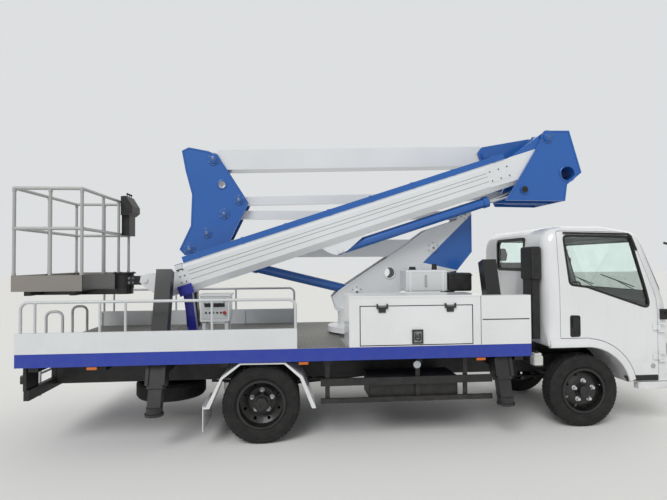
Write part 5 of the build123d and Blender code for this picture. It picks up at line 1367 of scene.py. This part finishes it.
    def mirrors(self) -> None:
        """Makes the mirrors' glasses on the rear faces of their heads."""
        for side in (-1, 1):
            glass = Form()
            glass.bar(pane((side * 917, 1384), (side * 1063, 1776), 26), 4222.5, 4226)
            glass.piece("mirror_glass_" + SIDES[side], CHROME)

    def headrests(self) -> None:
        """Makes the padded headrests of the two outer seats, on their posts."""
        pads, posts = Form(), Form()
        for middle in (-500, 485):
            pads.plate(soft_corners(((3010, 1748, 22), (3072, 1748, 22), (3086, 1830, 40), (3062, 1908, 34),
                                     (3000, 1908, 34), (2998, 1830, 30))), middle - 130, middle + 130)
            for across in (-60, 60):
                posts.tube([(3038, middle + across, 1700), (3038, middle + across, 1765)], 6.0, 12)
        pads.piece("headrest_pads", TRIM_GREY, edge=16.0, steps=4)
        posts.piece("headrest_posts", CHROME)

    def build(self) -> None:
        """Builds the whole cab."""
        self.shell()
        self.seals()
        self.front()
        self.mirrors()
        self.headrests()


# Wheels


@dataclass
class Wheels:
    """Six road wheels: treaded tyres, nuts, hub caps and valves on the turned rims.

    Attributes:
        radius: The tyre's radius.
        width: Its width.
        bore: Radius of its bore.
        blocks: Number of tread blocks round it.
        groove: Depth of the grooves between the ribs.
        nuts: Number of wheel nuts.
        nut_circle: Radius of the circle that they stand on.
        front_y: Middle of a front tyre.
        rear_y: Middle of a twin pair.
        spacing: Distance between the tyres of a pair.
        axle_x: The front axle.
    """

    radius: float = 375.0
    width: float = 196.0
    bore: float = 222.0
    blocks: int = 54
    groove: float = 9.0
    nuts: int = 5
    nut_circle: float = 104.0
    front_y: float = 699.0
    rear_y: float = 712.5
    spacing: float = 235.0
    axle_x: float = 3360.0

    def tyre(self, made: Form, x: float, y: float) -> None:
        """Adds one tyre with ribs, shoulder blocks, sidewall rings and beads.

        Args:
            made: The form that it goes in.
            x: Its axle.
            y: Its middle.
        """
        half = self.width / 2
        tread = self.radius
        deep = tread - self.groove
        side = [(self.bore, -half + 20), (self.bore + 18, -half + 20), (self.bore + 30, -half + 7),
                (self.bore + 38, -half + 4), (self.bore + 40, -half + 1.5), (self.bore + 46, -half + 1.5),
                (self.bore + 48, -half + 1.5), (self.bore + 62, -half + 0.6), (self.bore + 84, -half),
                (tread - 46, -half + 1), (tread - 43, -half + 3.5), (tread - 38, -half + 1.5),
                (tread - 30, -half + 3), (tread - 18, -half + 9), (tread - 8, -half + 16)]
        ribs = []
        marks = (-half + 22, -half + 62, -half + 70, -6, 6, half - 70, half - 62, half - 22)
        for n in range(0, len(marks), 2):
            left, right = marks[n], marks[n + 1]
            ribs += [(tread, left), (tread, right)]
            if n + 2 < len(marks):
                ribs += [(deep, right + 2), (deep, marks[n + 2] - 2)]
        profile = side + ribs + [(r, -v) for r, v in reversed(side)]
        low = len(side)
        high = low + len(ribs)
        steps = self.blocks * 4
        rings = []
        for step, (c, s) in enumerate(circle((0, 0), 1, steps)):
            ring = []
            for n, (r, v) in enumerate(profile):
                shoulder = low - 2 <= n <= low + 1 or high - 2 <= n <= high + 1
                r -= 7.0 if step % 4 == 0 and shoulder and r > deep + 1 else 0.0
                ring.append((x + r * c, y + v, self.radius + r * s))
            rings.append(ring)
        made.skin(rings)

    def hardware(self, side: int, x: float, disc_y: float, cap_y: float, where: str, body: str) -> None:
        """Makes the nuts, the hub cap and the valve of one wheel.

        Args:
            side: 1 for the left, -1 for the right.
            x: The wheel's axle.
            disc_y: Outer face of the disc at the nuts.
            cap_y: Outer face of the hub's cap.
            where: The wheel's name.
            body: The body they ride on.
        """
        out = LEFT * side
        nuts = Form()
        for a, b in circle((x, self.radius), self.nut_circle, self.nuts, 90.0):
            place = (a, disc_y, b)
            nuts.turned([(25, -3), (25, 3), (20, 5)], place, out, 24)
            nuts.turned([(19.5, 4), (19.5, 28), (16, 33)], place, out, 6)
            nuts.turned([(10, 30), (10, 42), (8, 44)], place, out, 16)
        nuts.piece("wheel_nuts_" + where, ZINC, body, edge=0.8)
        cap = Form()
        cap.turned([(62.6, -30), (62.6, -2), (58, 3), (40, 6), (22, 6), (20, 2), (6, 2)],
                   (x, cap_y, self.radius), out, 48)
        for a, b in circle((x, self.radius), 52, 6, 30.0):
            cap.bolt((a, cap_y + side * 3.0, b), out, 5.5, 5)
        cap.piece("hub_cap_" + where, RIM_BLACK, body)
        valve = Form()
        foot = (x + 168, disc_y - side * 6, self.radius + 62)
        valve.turned([(5, 0), (5, 22), (6.5, 22), (6.5, 34), (4, 37)], foot, out, 12)
        valve.piece("tyre_valve_" + where, BRIGHT_STEEL, body)

    def build(self) -> None:
        """Builds the six tyres with their hardware."""
        for side, name in SIDES.items():
            front, rear = Form(), Form()
            self.tyre(front, self.axle_x, side * self.front_y)
            made = front.piece("front_tyre_tread_" + name, TYRE_RUBBER, "front_wheel_" + name, smooth=38.0)
            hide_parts("front_tyre_" + name)
            for end in (-1, 1):
                self.tyre(rear, 0.0, side * self.rear_y + end * self.spacing / 2)
            made = rear.piece("rear_tyre_treads_" + name, TYRE_RUBBER, "rear_wheels_" + name, smooth=38.0)
            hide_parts("rear_tyres_" + name)
            self.hardware(side, self.axle_x, side * (self.front_y + 68), side * (self.front_y + 118),
                          "front_" + name, "front_wheel_" + name)
            self.hardware(side, 0.0, side * (self.rear_y + 46), side * (self.rear_y + 184), "rear_" + name,
                          "rear_wheels_" + name)


# Folding arms and boom


@dataclass
class Lift:
    """Hardware of the turret, elbows, arms and boom: edge flanges, hole collars, pin keepers and seams.

    Attributes:
        near: Outer face of the arms' right cheeks.
        far: Outer face of their left cheeks.
        proud: How far the pins stand out of a cheek.
        flange: Width of the flange along a cheek's edge.
        flange_height: Height of that flange.
        boom_near: Outer face of the boom's right cheek.
        boom_middle: Middle of the boom across the truck.
        pivot: X and Z of the boom's pivot.
        slope: Fall of the stowed boom in degrees.
        boom_half: Half the width of the base section.
        tower_edge: X and Z of the tower's cheeks, going round.
        rear_edge: The same of the rear elbow.
        boom_edge: The same of the front elbow's cheek beside the boom.
        arm_edge: The same of its cheek beside the arm.
        tower_pins: X, Z and radius of the tower's pins.
        rear_pins: The same of the rear elbow's.
        front_pins: The same of the front elbow's beside the arm.
    """

    near: float = -86.0
    far: float = 206.0
    proud: float = 26.0
    flange: float = 17.0
    flange_height: float = 4.5
    boom_near: float = -471.0
    boom_middle: float = -320.0
    pivot: Flat = (3182.0, 3144.0)
    slope: float = 18.0
    boom_half: float = 125.0
    tower_edge: tuple[Flat, ...] = (
        (810, 1213), (769, 1342), (840, 1420), (1710, 1990), (1899, 2124), (2255, 2237), (2300, 2420),
        (2433, 2400), (2433, 2290), (2432, 1859), (2247, 1637), (1814, 1560), (1416, 1300), (1410, 1213))
    rear_edge: tuple[Flat, ...] = (
        (-535, 2975), (-190, 2432), (-420, 1960), (-500, 1850), (-900, 1835), (-960, 1901), (-835, 2169),
        (-822, 2522), (-893, 2791), (-935, 3020), (-860, 3060), (-640, 3020))
    boom_edge: tuple[Flat, ...] = (
        (3150, 3216), (3438, 3221), (3577, 2745), (3404, 2608), (3377, 2420), (2683, 2427), (2780, 2572),
        (3074, 3053))
    arm_edge: tuple[Flat, ...] = (
        (2520, 3040), (2570, 3110), (3150, 3216), (3438, 3221), (3577, 2745), (3404, 2608), (3377, 2420),
        (2850, 2427), (2800, 2540), (2900, 2760), (2760, 2900), (2560, 2920))
    tower_pins: tuple[Corner, ...] = ((1960, 1908, 35), (2348, 2303, 27), (1050, 1400, 32))
    rear_pins: tuple[Corner, ...] = (
        (-850, 1908, 35), (-462, 2303, 27), (-582, 2926, 35), (-296, 2462, 27), (-657, 2085, 27))
    front_pins: tuple[Corner, ...] = ((2610.9, 3010.7, 35), (2896.9, 2546.7, 27))

    def rim(self, made: Form, edge: Sequence[Flat], face: float, out: int) -> None:
        """Adds a low flange along a cheek's edge.

        Args:
            made: The form that it goes in.
            edge: The cheek's outline.
            face: The cheek's outer face.
            out: 1 when the face looks left, -1 when it looks right.
        """
        line = dense(edge, 60.0)
        inner = moved_in(line, self.flange)
        made.skin([[(x, y, z) for x, z in ring]
                   for ring, y in ((line, face - out * 0.5), (line, face + out * self.flange_height),
                                   (inner, face + out * self.flange_height), (inner, face - out * 0.5))])

    def collar(self, made: Form, x: float, z: float, radius: float, face: float, out: int) -> None:
        """Adds the rolled collar of a round hole.

        Args:
            made: The form that it goes in.
            x: The hole's X.
            z: Its height.
            radius: Its radius.
            face: The cheek's outer face.
            out: 1 when the face looks left, -1 when it looks right.
        """
        made.turned([(radius, -1), (radius, 7), (radius + 4, 9), (radius + 13, 9), (radius + 17, 6),
                     (radius + 17, -1)], (x, face, z), LEFT * out, 40, closed=True)

    def keepers(self, paint: Form, bolts: Form, pins: Sequence[Corner], face: float,
                out: int) -> None:
        """Adds the boss, the keeper plate and the bolts of each pin.

        Args:
            paint: The form of the painted plates.
            bolts: The form of the bolts.
            pins: X, Z and radius of each pin.
            face: The cheek's outer face.
            out: 1 when the face looks left, -1 when it looks right.
        """
        axis = LEFT * out
        for x, z, radius in pins:
            boss = radius + 36
            paint.turned([(radius + 12, -1), (radius + 12, 7), (boss - 3, 7), (boss, 4), (boss, -1)],
                         (x, face, z), axis, 40, closed=True)
            paint.turned([(radius - 1, -4), (radius - 1, 1.5), (radius - 6, 4)],
                         (x, face + out * self.proud, z), axis, 32)
            bolts.bolt((x, face + out * (self.proud + 3), z), axis, 11, 9)
            for a, b in circle((x, z), boss - 11, 6, 30.0):
                bolts.bolt((a, face + out * 6.5, b), axis, 5.5, 5)

    def cheeks(self) -> None:
        """Makes the hardware on the tower and both elbows."""
        for name, edge, pins, hole, faces, finish, body in (
                ("tower", self.tower_edge, self.tower_pins, (1438, 1620, 60), (self.near, self.far),
                 TOWER_PAINT, "truck"),
                ("rear_elbow", self.rear_edge, self.rear_pins, (-489, 2640, 40), (self.near, self.far),
                 ELBOW_BLUE, "rear_elbow"),
                ("front_elbow_boom_side", self.boom_edge, ((3182, 3144, 40),), (3413, 2731, 80),
                 (self.boom_near,), ELBOW_BLUE, "front_elbow"),
                ("front_elbow_arm_side", self.arm_edge, self.front_pins, (3413, 2731, 80), (self.far,),
                 ELBOW_BLUE, "front_elbow")):
            paint, bolts = Form(), Form()
            for face in faces:
                out = 1 if face > 0 else -1
                self.rim(paint, edge, face, out)
                self.collar(paint, *hole, face, out)
                self.keepers(paint, bolts, pins, face, out)
            paint.piece(name + "_flanges", finish, body, edge=1.2, smooth=40.0)
            bolts.piece(name + "_bolts", BRIGHT_STEEL, body)

    def on_boom(self, along: float, across: float, down: float) -> Point:
        """Turns a place on the stowed boom into a point of the truck.

        Args:
            along: Millimetres from the pivot towards the basket.
            across: Millimetres to the left of the boom's middle.
            down: Millimetres below its axis.

        Returns:
            The point.
        """
        c, s = math.cos(math.radians(self.slope)), math.sin(math.radians(self.slope))
        return (self.pivot[0] - along * c + down * s, self.boom_middle + across,
                self.pivot[1] - along * s - down * c)

    def bar_on_boom(self, made: Form, low: Point, high: Point) -> None:
        """Adds a bar along the boom.

        Args:
            made: The form that it goes in.
            low: One corner, as on_boom() has it.
            high: The opposite corner.
        """
        made.prism(*([self.on_boom(x, y, z) for x, y in ((low[0], low[1]), (high[0], low[1]),
                                                         (high[0], high[1]), (low[0], high[1]))]
                     for z in (low[2], high[2])))

    def boom(self) -> None:
        """Makes the base section's seams with strips of painted shadow below them, its cover straps, mouth
        plates and bolts.
        """
        seams, shades, straps, bolts, mouth = Form(), Form(), Form(), Form(), Form()
        half = self.boom_half
        c, s = math.cos(math.radians(self.slope)), math.sin(math.radians(self.slope))
        up = Vector((-s, 0, c))
        for side in (-1, 1):
            under = side * (half - 1)
            # Each seam is a white ridge with a grey strip of painted shadow just below it.
            for down in (168, 206, 262):
                self.bar_on_boom(seams, (800, under, down), (4235, side * (half + 2.2), down + 6))
                self.bar_on_boom(shades, (800, under, down + 6), (4235, side * (half + 0.6), down + 13))
            self.bar_on_boom(mouth, (4262, under, 132), (4349, side * (half + 5), 296))
            for along in (4282, 4330):
                for down in (150, 214, 278):
                    bolts.bolt(self.on_boom(along, side * (half + 4.5), down), LEFT * side, 7, 6)
            self.bar_on_boom(mouth, (520, side * (half - 2), 150), (790, side * (half + 3), 300))
            for along in (550, 655, 760):
                for down in (172, 278):
                    bolts.bolt(self.on_boom(along, side * (half + 2.5), down), LEFT * side, 7, 6)
        for n in range(8):
            along = 640 + 490 * n
            self.bar_on_boom(straps, (along, -98, 12.5), (along + 34, 98, 85))
            for across in (-60, 60):
                bolts.bolt(self.on_boom(along + 17, across, 12.5), up, 6, 5)
        straps.piece("boom_cover_straps", ELBOW_BLUE, "boom_base", edge=1.5)
        seams.piece("boom_pressed_lines", ARM_WHITE, "boom_base", edge=0.8)
        shades.piece("boom_line_painted_shadows", SHADOW_GREY, "boom_base")
        mouth.piece("boom_mouth_plates", ARM_WHITE, "boom_base", edge=1.5)
        bolts.piece("boom_bolts", BRIGHT_STEEL, "boom_base")

    def bracket(self) -> None:
        """Makes the side plates and bolts of the levelled bracket, and the plug in the front elbow."""
        plates, bolts = Form(), Form()
        for out in (-1, 1):
            face = self.boom_middle + out * 69
            plates.plate(pane((-1468, 1530), (-1340, 1606), 14), face - out, face + out * 5)
            for x in (-1450, -1408, -1366):
                for z in (1545, 1591):
                    bolts.bolt((x, face + out * 4.5, z), LEFT * out, 9, 8)
        for a, b in circle((-1480, self.boom_middle), 96, 8):
            bolts.bolt((a, b, 1654), UP, 8, 7)
        plates.piece("bracket_side_plates", CHASSIS_BLACK, "bracket", edge=1.5)
        bolts.piece("bracket_bolts", BRIGHT_STEEL, "bracket")
        plug = Form()
        plug.turned([(37, -1), (37, 2.5), (33, 4)], (2896.9, self.boom_near - 20, 2546.7), -LEFT, 32)
        plug.piece("front_elbow_plug", SEAL_RUBBER, "front_elbow")

    def build(self) -> None:
        """Builds the lift's hardware."""
        self.cheeks()
        self.boom()
        self.bracket()


# Body fittings


@dataclass
class Fittings:
    """What is fixed to the deck, the cabinet, the stations and the basket.

    Attributes:
        deck_z: Top of the deck.
        tread_z: Top of the raised tread plate.
        lamps: Place along the truck of each marker lamp.
        cabinet_y: The cabinet's outer face.
        basket: X of the basket's rear and front, half its width, and its floor's top.
    """

    deck_z: float = 923.0
    tread_z: float = 926.0
    lamps: tuple[float, ...] = (-1543.0, 408.0, 2163.0)
    cabinet_y: float = -1000.0
    basket: tuple[float, float, float, float] = (-2420.0, -1750.0, 700.0, 1507.0)

    def deck(self) -> None:
        """Makes the chequered plates, the marker lamps and the work lamp."""
        plates = Form()
        plates.box((-1118, -972, self.deck_z + 0.1), (820, 972, self.deck_z + 1.4))
        plates.box((-1999, -949, self.tread_z + 0.1), (-1121, 949, self.tread_z + 1.2))
        plates.box((-2216, -972, self.deck_z + 0.1), (-2002, 972, self.deck_z + 1.4))
        plates.piece("deck_tread_plates", CHEQUER, edge=0.4, steps=1)
        lamps, feet = Form(), Form()
        for side in (-1, 1):
            for x in self.lamps:
                lamps.box((x - 46, side * 972, 768), (x + 46, side * 999, 793))
                feet.box((x - 52, side * 965, 792), (x + 52, side * 996, 799.8))
                feet.box((x - 50, side * 962, 762), (x + 50, side * 974, 796))
        lamps.piece("deck_marker_lamps", AMBER_LENS, edge=5.0, steps=3)
        feet.turned([(30, -16), (40, -8), (42, 12), (38, 14)], (1525, -948, 735), -LEFT, 32)
        feet.box((1517, -944, 735), (1533, -930, 799.8))
        feet.piece("deck_lamp_brackets", BLACK_PLASTIC, edge=1.5)
        lens = Form()
        lens.turned([(37, -2), (36, 4), (20, 7), (4, 8)], (1525, -961, 735), -LEFT, 32)
        lens.piece("deck_work_lamp_lens", LENS_GREY)

    def coolant(self) -> None:
        """Makes the white coolant bottle and its bracket behind the front right wheel."""
        arm = Form()
        arm.box((2836, -746, 628), (2950, -352, 640))
        arm.box((2836, -362, 560), (2950, -352, 640))
        arm.box((2842, -640, 638), (2944, -632, 700))
        arm.piece("coolant_bracket", CHASSIS_BLACK, edge=2.0)
        bottle = Form()
        for low, high, wide in ((641, 742, 0), (738, 770, 10)):
            bottle.pillar(pane((2840 + wide, -744 + wide), (2946 - wide, -642 - wide), 22), low, high)
        bottle.piece("coolant_bottle", BOTTLE, edge=9.0, steps=3)
        cap = Form()
        cap.turned([(22, 0), (22, 18), (19, 21)], (2893, -693, 769), UP, 20)
        cap.piece("coolant_cap", BLACK_PLASTIC, edge=1.0)

    def cabinet(self) -> None:
        """Makes the cabinet's swage and top fold, a dark seam line, a strip of painted shadow under the
        swage, and the door's seal and lock.
        """
        y = self.cabinet_y
        fold = Form()
        fold.box((2182, y - 4, 1176), (2664, y + 2, 1188))
        fold.box((852, y - 3, 1398), (2163, y + 2, 1416))
        fold.piece("cabinet_folds", BODY_WHITE, edge=2.5)
        # The black strip under the swage is painted shadow; the upright strip is a dark seam line.
        shadow = Form()
        shadow.box((2182, y - 1, 1166), (2664, y + 2, 1176.5))
        shadow.box((2163, y - 0.8, 925), (2168, y + 2, 1407))
        shadow.piece("cabinet_seam_and_swage_shadow", SEAL_RUBBER)
        outer = [(952, 931), (952, 1322), (2084, 1322), (2084, 931)]
        inner = [(958, 937), (958, 1316), (2078, 1316), (2078, 937)]
        seal = Form()
        seal.skin([[(x, deep, z) for x, z in loop]
                   for loop, deep in ((outer, y + 3), (outer, y - 1.2), (inner, y - 1.2), (inner, y + 3))])
        seal.piece("cabinet_door_seal", SEAL_RUBBER)
        lock = Form()
        lock.plate(pane((1484, 962), (1558, 1066), 8), y - 14, y - 17)
        lock.piece("cabinet_lock_pan", BRIGHT_STEEL, "cabinet_door", edge=1.0)
        handle = Form()
        line = [(1500, y - 16, 1048), (1500, y - 27, 1040), (1500, y - 27, 985), (1542, y - 27, 985),
                (1542, y - 27, 1040), (1542, y - 16, 1048)]
        handle.tube(rounded(line, 12.0), 4.5, 10)
        handle.turned([(9, 0), (9, 5), (7, 7)], (1521, y - 16, 1012), -LEFT, 20)
        handle.piece("cabinet_lock_handle", BLACK_PLASTIC, "cabinet_door")

    def station(self) -> None:
        """Makes the ground station's panel, levers and buttons."""
        face = -544.0
        panel = Form()
        panel.plate(pane((-632, 1166), (-368, 1386), 12), face, face + 5)
        panel.piece("station_panel", PANEL_GREY, edge=1.5)
        slot = Form()
        slot.plate(pane((-604, 1290), (-396, 1330), 5), face - 2, face + 1)
        for n in range(6):
            x = -590 + 36 * n
            slot.tube([(x, face - 1, 1310), (x, face - 28, 1318), (x, face - 46, 1326)], 4.0, 8)
            slot.turned([(4, -2), (9, 4), (10, 12), (6, 18)], (x, face - 44, 1325),
                        Vector((0, -0.9, 0.4)), 14)
        slot.piece("station_levers", BLACK_PLASTIC, edge=0.6)
        keys = Form()
        for n in range(5):
            keys.turned([(10, -1), (10, 5), (8, 7)], (-588 + 38 * n, face, 1232), -LEFT, 16)
        keys.turned([(20, -1), (20, 3), (17, 4)], (-400, face, 1360), -LEFT, 24)
        keys.piece("station_buttons", SEAL_RUBBER)
        stop = Form()
        stop.turned([(9, -1), (9, 10), (18, 12), (18, 20), (13, 24)], (-398, face, 1232), -LEFT, 24)
        stop.piece("station_stop_button", STOP_RED, edge=1.0)

    def power_pack(self) -> None:
        """Makes the tank's cap, filter, level glass and bands, and the pump chest's lid and latches."""
        face, top = -429.0, 1655.0
        tank = Form()
        tank.turned([(44, -2), (44, 8), (36, 10), (36, 30), (32, 34)], (1660, -285, top), UP, 28)
        tank.turned([(30, -2), (30, 12), (26, 60), (20, 66)], (1900, -330, top), UP, 28)
        tank.piece("tank_cap_and_filter", BLACK_PLASTIC, edge=1.0)
        glass = Form()
        glass.plate(pane((1760, 1470), (1784, 1600), 6), face - 10, face)
        glass.piece("tank_level_glass", LENS_GREY, edge=2.0)
        bands = Form()
        for x in (1592, 1960):
            bands.box((x, face - 5, 1417), (x + 22, face, top - 3))
        bands.box((1552, face - 4, 1630), (2018, face, 1640))
        bands.piece("tank_bands", BODY_WHITE, edge=2.0)
        chest = Form()
        chest.box((2026, face - 5, 1588), (2304, -176, 1600))
        for x in (2080, 2230):
            chest.box((x, face - 8, 1560), (x + 24, face, 1606))
        chest.box((2040, face - 4, 1440), (2290, face, 1560))
        chest.piece("pump_chest_lid", BLACK_PLASTIC, edge=3.0)

    def basket_parts(self) -> None:
        """Makes the basket's tread floor, board ribs, tube joints and the console's joysticks."""
        rear, front, half, floor = self.basket
        tread = Form()
        tread.box((rear + 5, -half + 5, floor + 0.2), (front - 5, half - 5, floor + 1.4))
        tread.piece("basket_tread", CHEQUER, "basket", slot=Slot.STEEL, edge=0.4, steps=1)
        ribs = Form()
        for side in (-1, 1):
            for z in (1500, 1612):
                ribs.box((rear + 20, side * (half - 0.5), z), (front - 20, side * (half - 4.4), z + 12))
        ribs.piece("basket_board_ribs", BASKET_GREY, "basket", edge=1.5)
        rings = Form()
        low, high, side = rear + 17, front - 17, half - 17
        for x, y in ((low, -side), (high, -side), (high, side), (low, side), (low, 0), (-2065, -side),
                     (-2065, side)):
            for z in (1646, 2098, 2476):
                rings.turned([(16.6, -20), (19, -17), (19, 17), (16.6, 20)], (x, y, z), UP, 20)
        rings.piece("basket_tube_joints", BASKET_GREY, "basket")
        knob = Form()
        x = front + 60
        for y in (400, 470, 540):
            knob.tube([(x, y, 2562), (x, y, 2585)], 5.0, 8)
            knob.turned([(6, -2), (13, 3), (14, 14), (9, 20)], (x, y, 2583), UP, 16)
        knob.piece("basket_joysticks", BLACK_PLASTIC, "basket")

    def build(self) -> None:
        """Builds all the fittings."""
        self.deck()
        self.coolant()
        self.cabinet()
        self.station()
        self.power_pack()
        self.basket_parts()


# Studio


@dataclass
class Studio:
    """Floor, light and the camera at the photograph's place.

    Attributes:
        camera_at: The camera's place in the truck's millimetres.
        yaw: Turn of its line of sight towards the cab, in degrees.
        pitch: Its rise, in degrees.
        roll: Its lean about its line of sight, in degrees.
        focal: Focal length in pixels of a picture 667 wide.
        width: Width of that picture in pixels.
        floor_half: Half the floor's side, in metres.
    """

    camera_at: Point = (295.0, -5615.0, 1756.0)
    yaw: float = 5.04
    pitch: float = 1.36
    roll: float = -0.37
    focal: float = 479.0
    width: float = 667.0
    floor_half: float = 60.0

    def camera(self) -> None:
        """Places the camera that the picture is taken with."""
        data = bpy.data.cameras.new("camera")
        data.sensor_fit = "HORIZONTAL"
        data.sensor_width = 36.0
        data.lens = 36.0 * self.focal / self.width
        data.clip_end = 200.0
        made = linked("camera", data)
        yaw, pitch = math.radians(self.yaw), math.radians(self.pitch)
        sight = Vector((math.sin(yaw) * math.cos(pitch), math.cos(yaw) * math.cos(pitch), math.sin(pitch)))
        turn = sight.to_track_quat("-Z", "Y").to_matrix().to_4x4()
        lean = Matrix.Rotation(math.radians(self.roll), 4, "Z")
        made.matrix_world = Matrix.Translation(at(*self.camera_at)) @ turn @ lean
        bpy.context.scene.camera = made

    def floor(self) -> None:
        """Lays a plain pale floor that meets the pale background."""
        half = self.floor_half
        data = bpy.data.meshes.new("floor")
        data.from_pydata([(-half, -half, 0), (half, -half, 0), (half, half, 0), (-half, half, 0)], [],
                         [(0, 1, 2, 3)])
        made = linked("floor", data)
        material = bpy.data.materials.new("pale_floor")
        shade = Shade(material)
        shader = shade.add("ShaderNodeBsdfPrincipled", {"Base Color": linear("#e8e8e6"), "Roughness": 0.9,
                                                        "Specular IOR Level": 0.2})
        shade.add("ShaderNodeOutputMaterial", links={0: shader.outputs[0]})
        data.materials.append(material)

    def light(self) -> None:
        """Lights the truck plainly from above and from the camera's side."""
        world = bpy.data.worlds.new("studio")
        bpy.context.scene.world = world
        shade = Shade(world)
        path = shade.add("ShaderNodeLightPath")
        seen = shade.maths("MAXIMUM", {}, {0: path.outputs["Is Camera Ray"],
                                           1: path.outputs["Is Transmission Ray"]})
        soft = shade.add("ShaderNodeBackground", {"Color": linear("#eeeeec"), "Strength": 0.62})
        pale = shade.add("ShaderNodeBackground", {"Color": linear("#dddfe0"), "Strength": 1.0})
        mix = shade.add("ShaderNodeMixShader", links={0: seen, 1: soft.outputs[0], 2: pale.outputs[0]})
        shade.add("ShaderNodeOutputWorld", links={0: mix.outputs[0]})
        for name, strength, spread, turn in (("key", 1.5, 30.0, (48.0, 0.0, -28.0)),
                                             ("fill", 0.45, 60.0, (62.0, 0.0, 150.0))):
            data = bpy.data.lights.new(name, "SUN")
            data.energy = strength
            data.angle = math.radians(spread)
            linked(name, data).rotation_euler = [math.radians(a) for a in turn]

    def build(self) -> None:
        """Makes the camera, the floor and the light."""
        self.camera()
        self.floor()
        self.light()
        bpy.context.scene.view_settings.view_transform = "Standard"


def corners(box: tuple[Vector, Vector]) -> list[list[float]]:
    """Turns a box into plain lists.

    Args:
        box: Its lowest and highest corner.

    Returns:
        Two lists of three numbers.
    """
    return [[float(v) for v in corner] for corner in box]


def main() -> None:
    """Builds every sub-assembly in order."""
    logging.basicConfig(level=logging.INFO, format="%(name)s: %(message)s")
    Studio().build()
    CARRIED.dress()
    Cab().build()
    Wheels().build()
    Lift().build()
    Fittings().build()


if __name__ == "__main__":
    main()
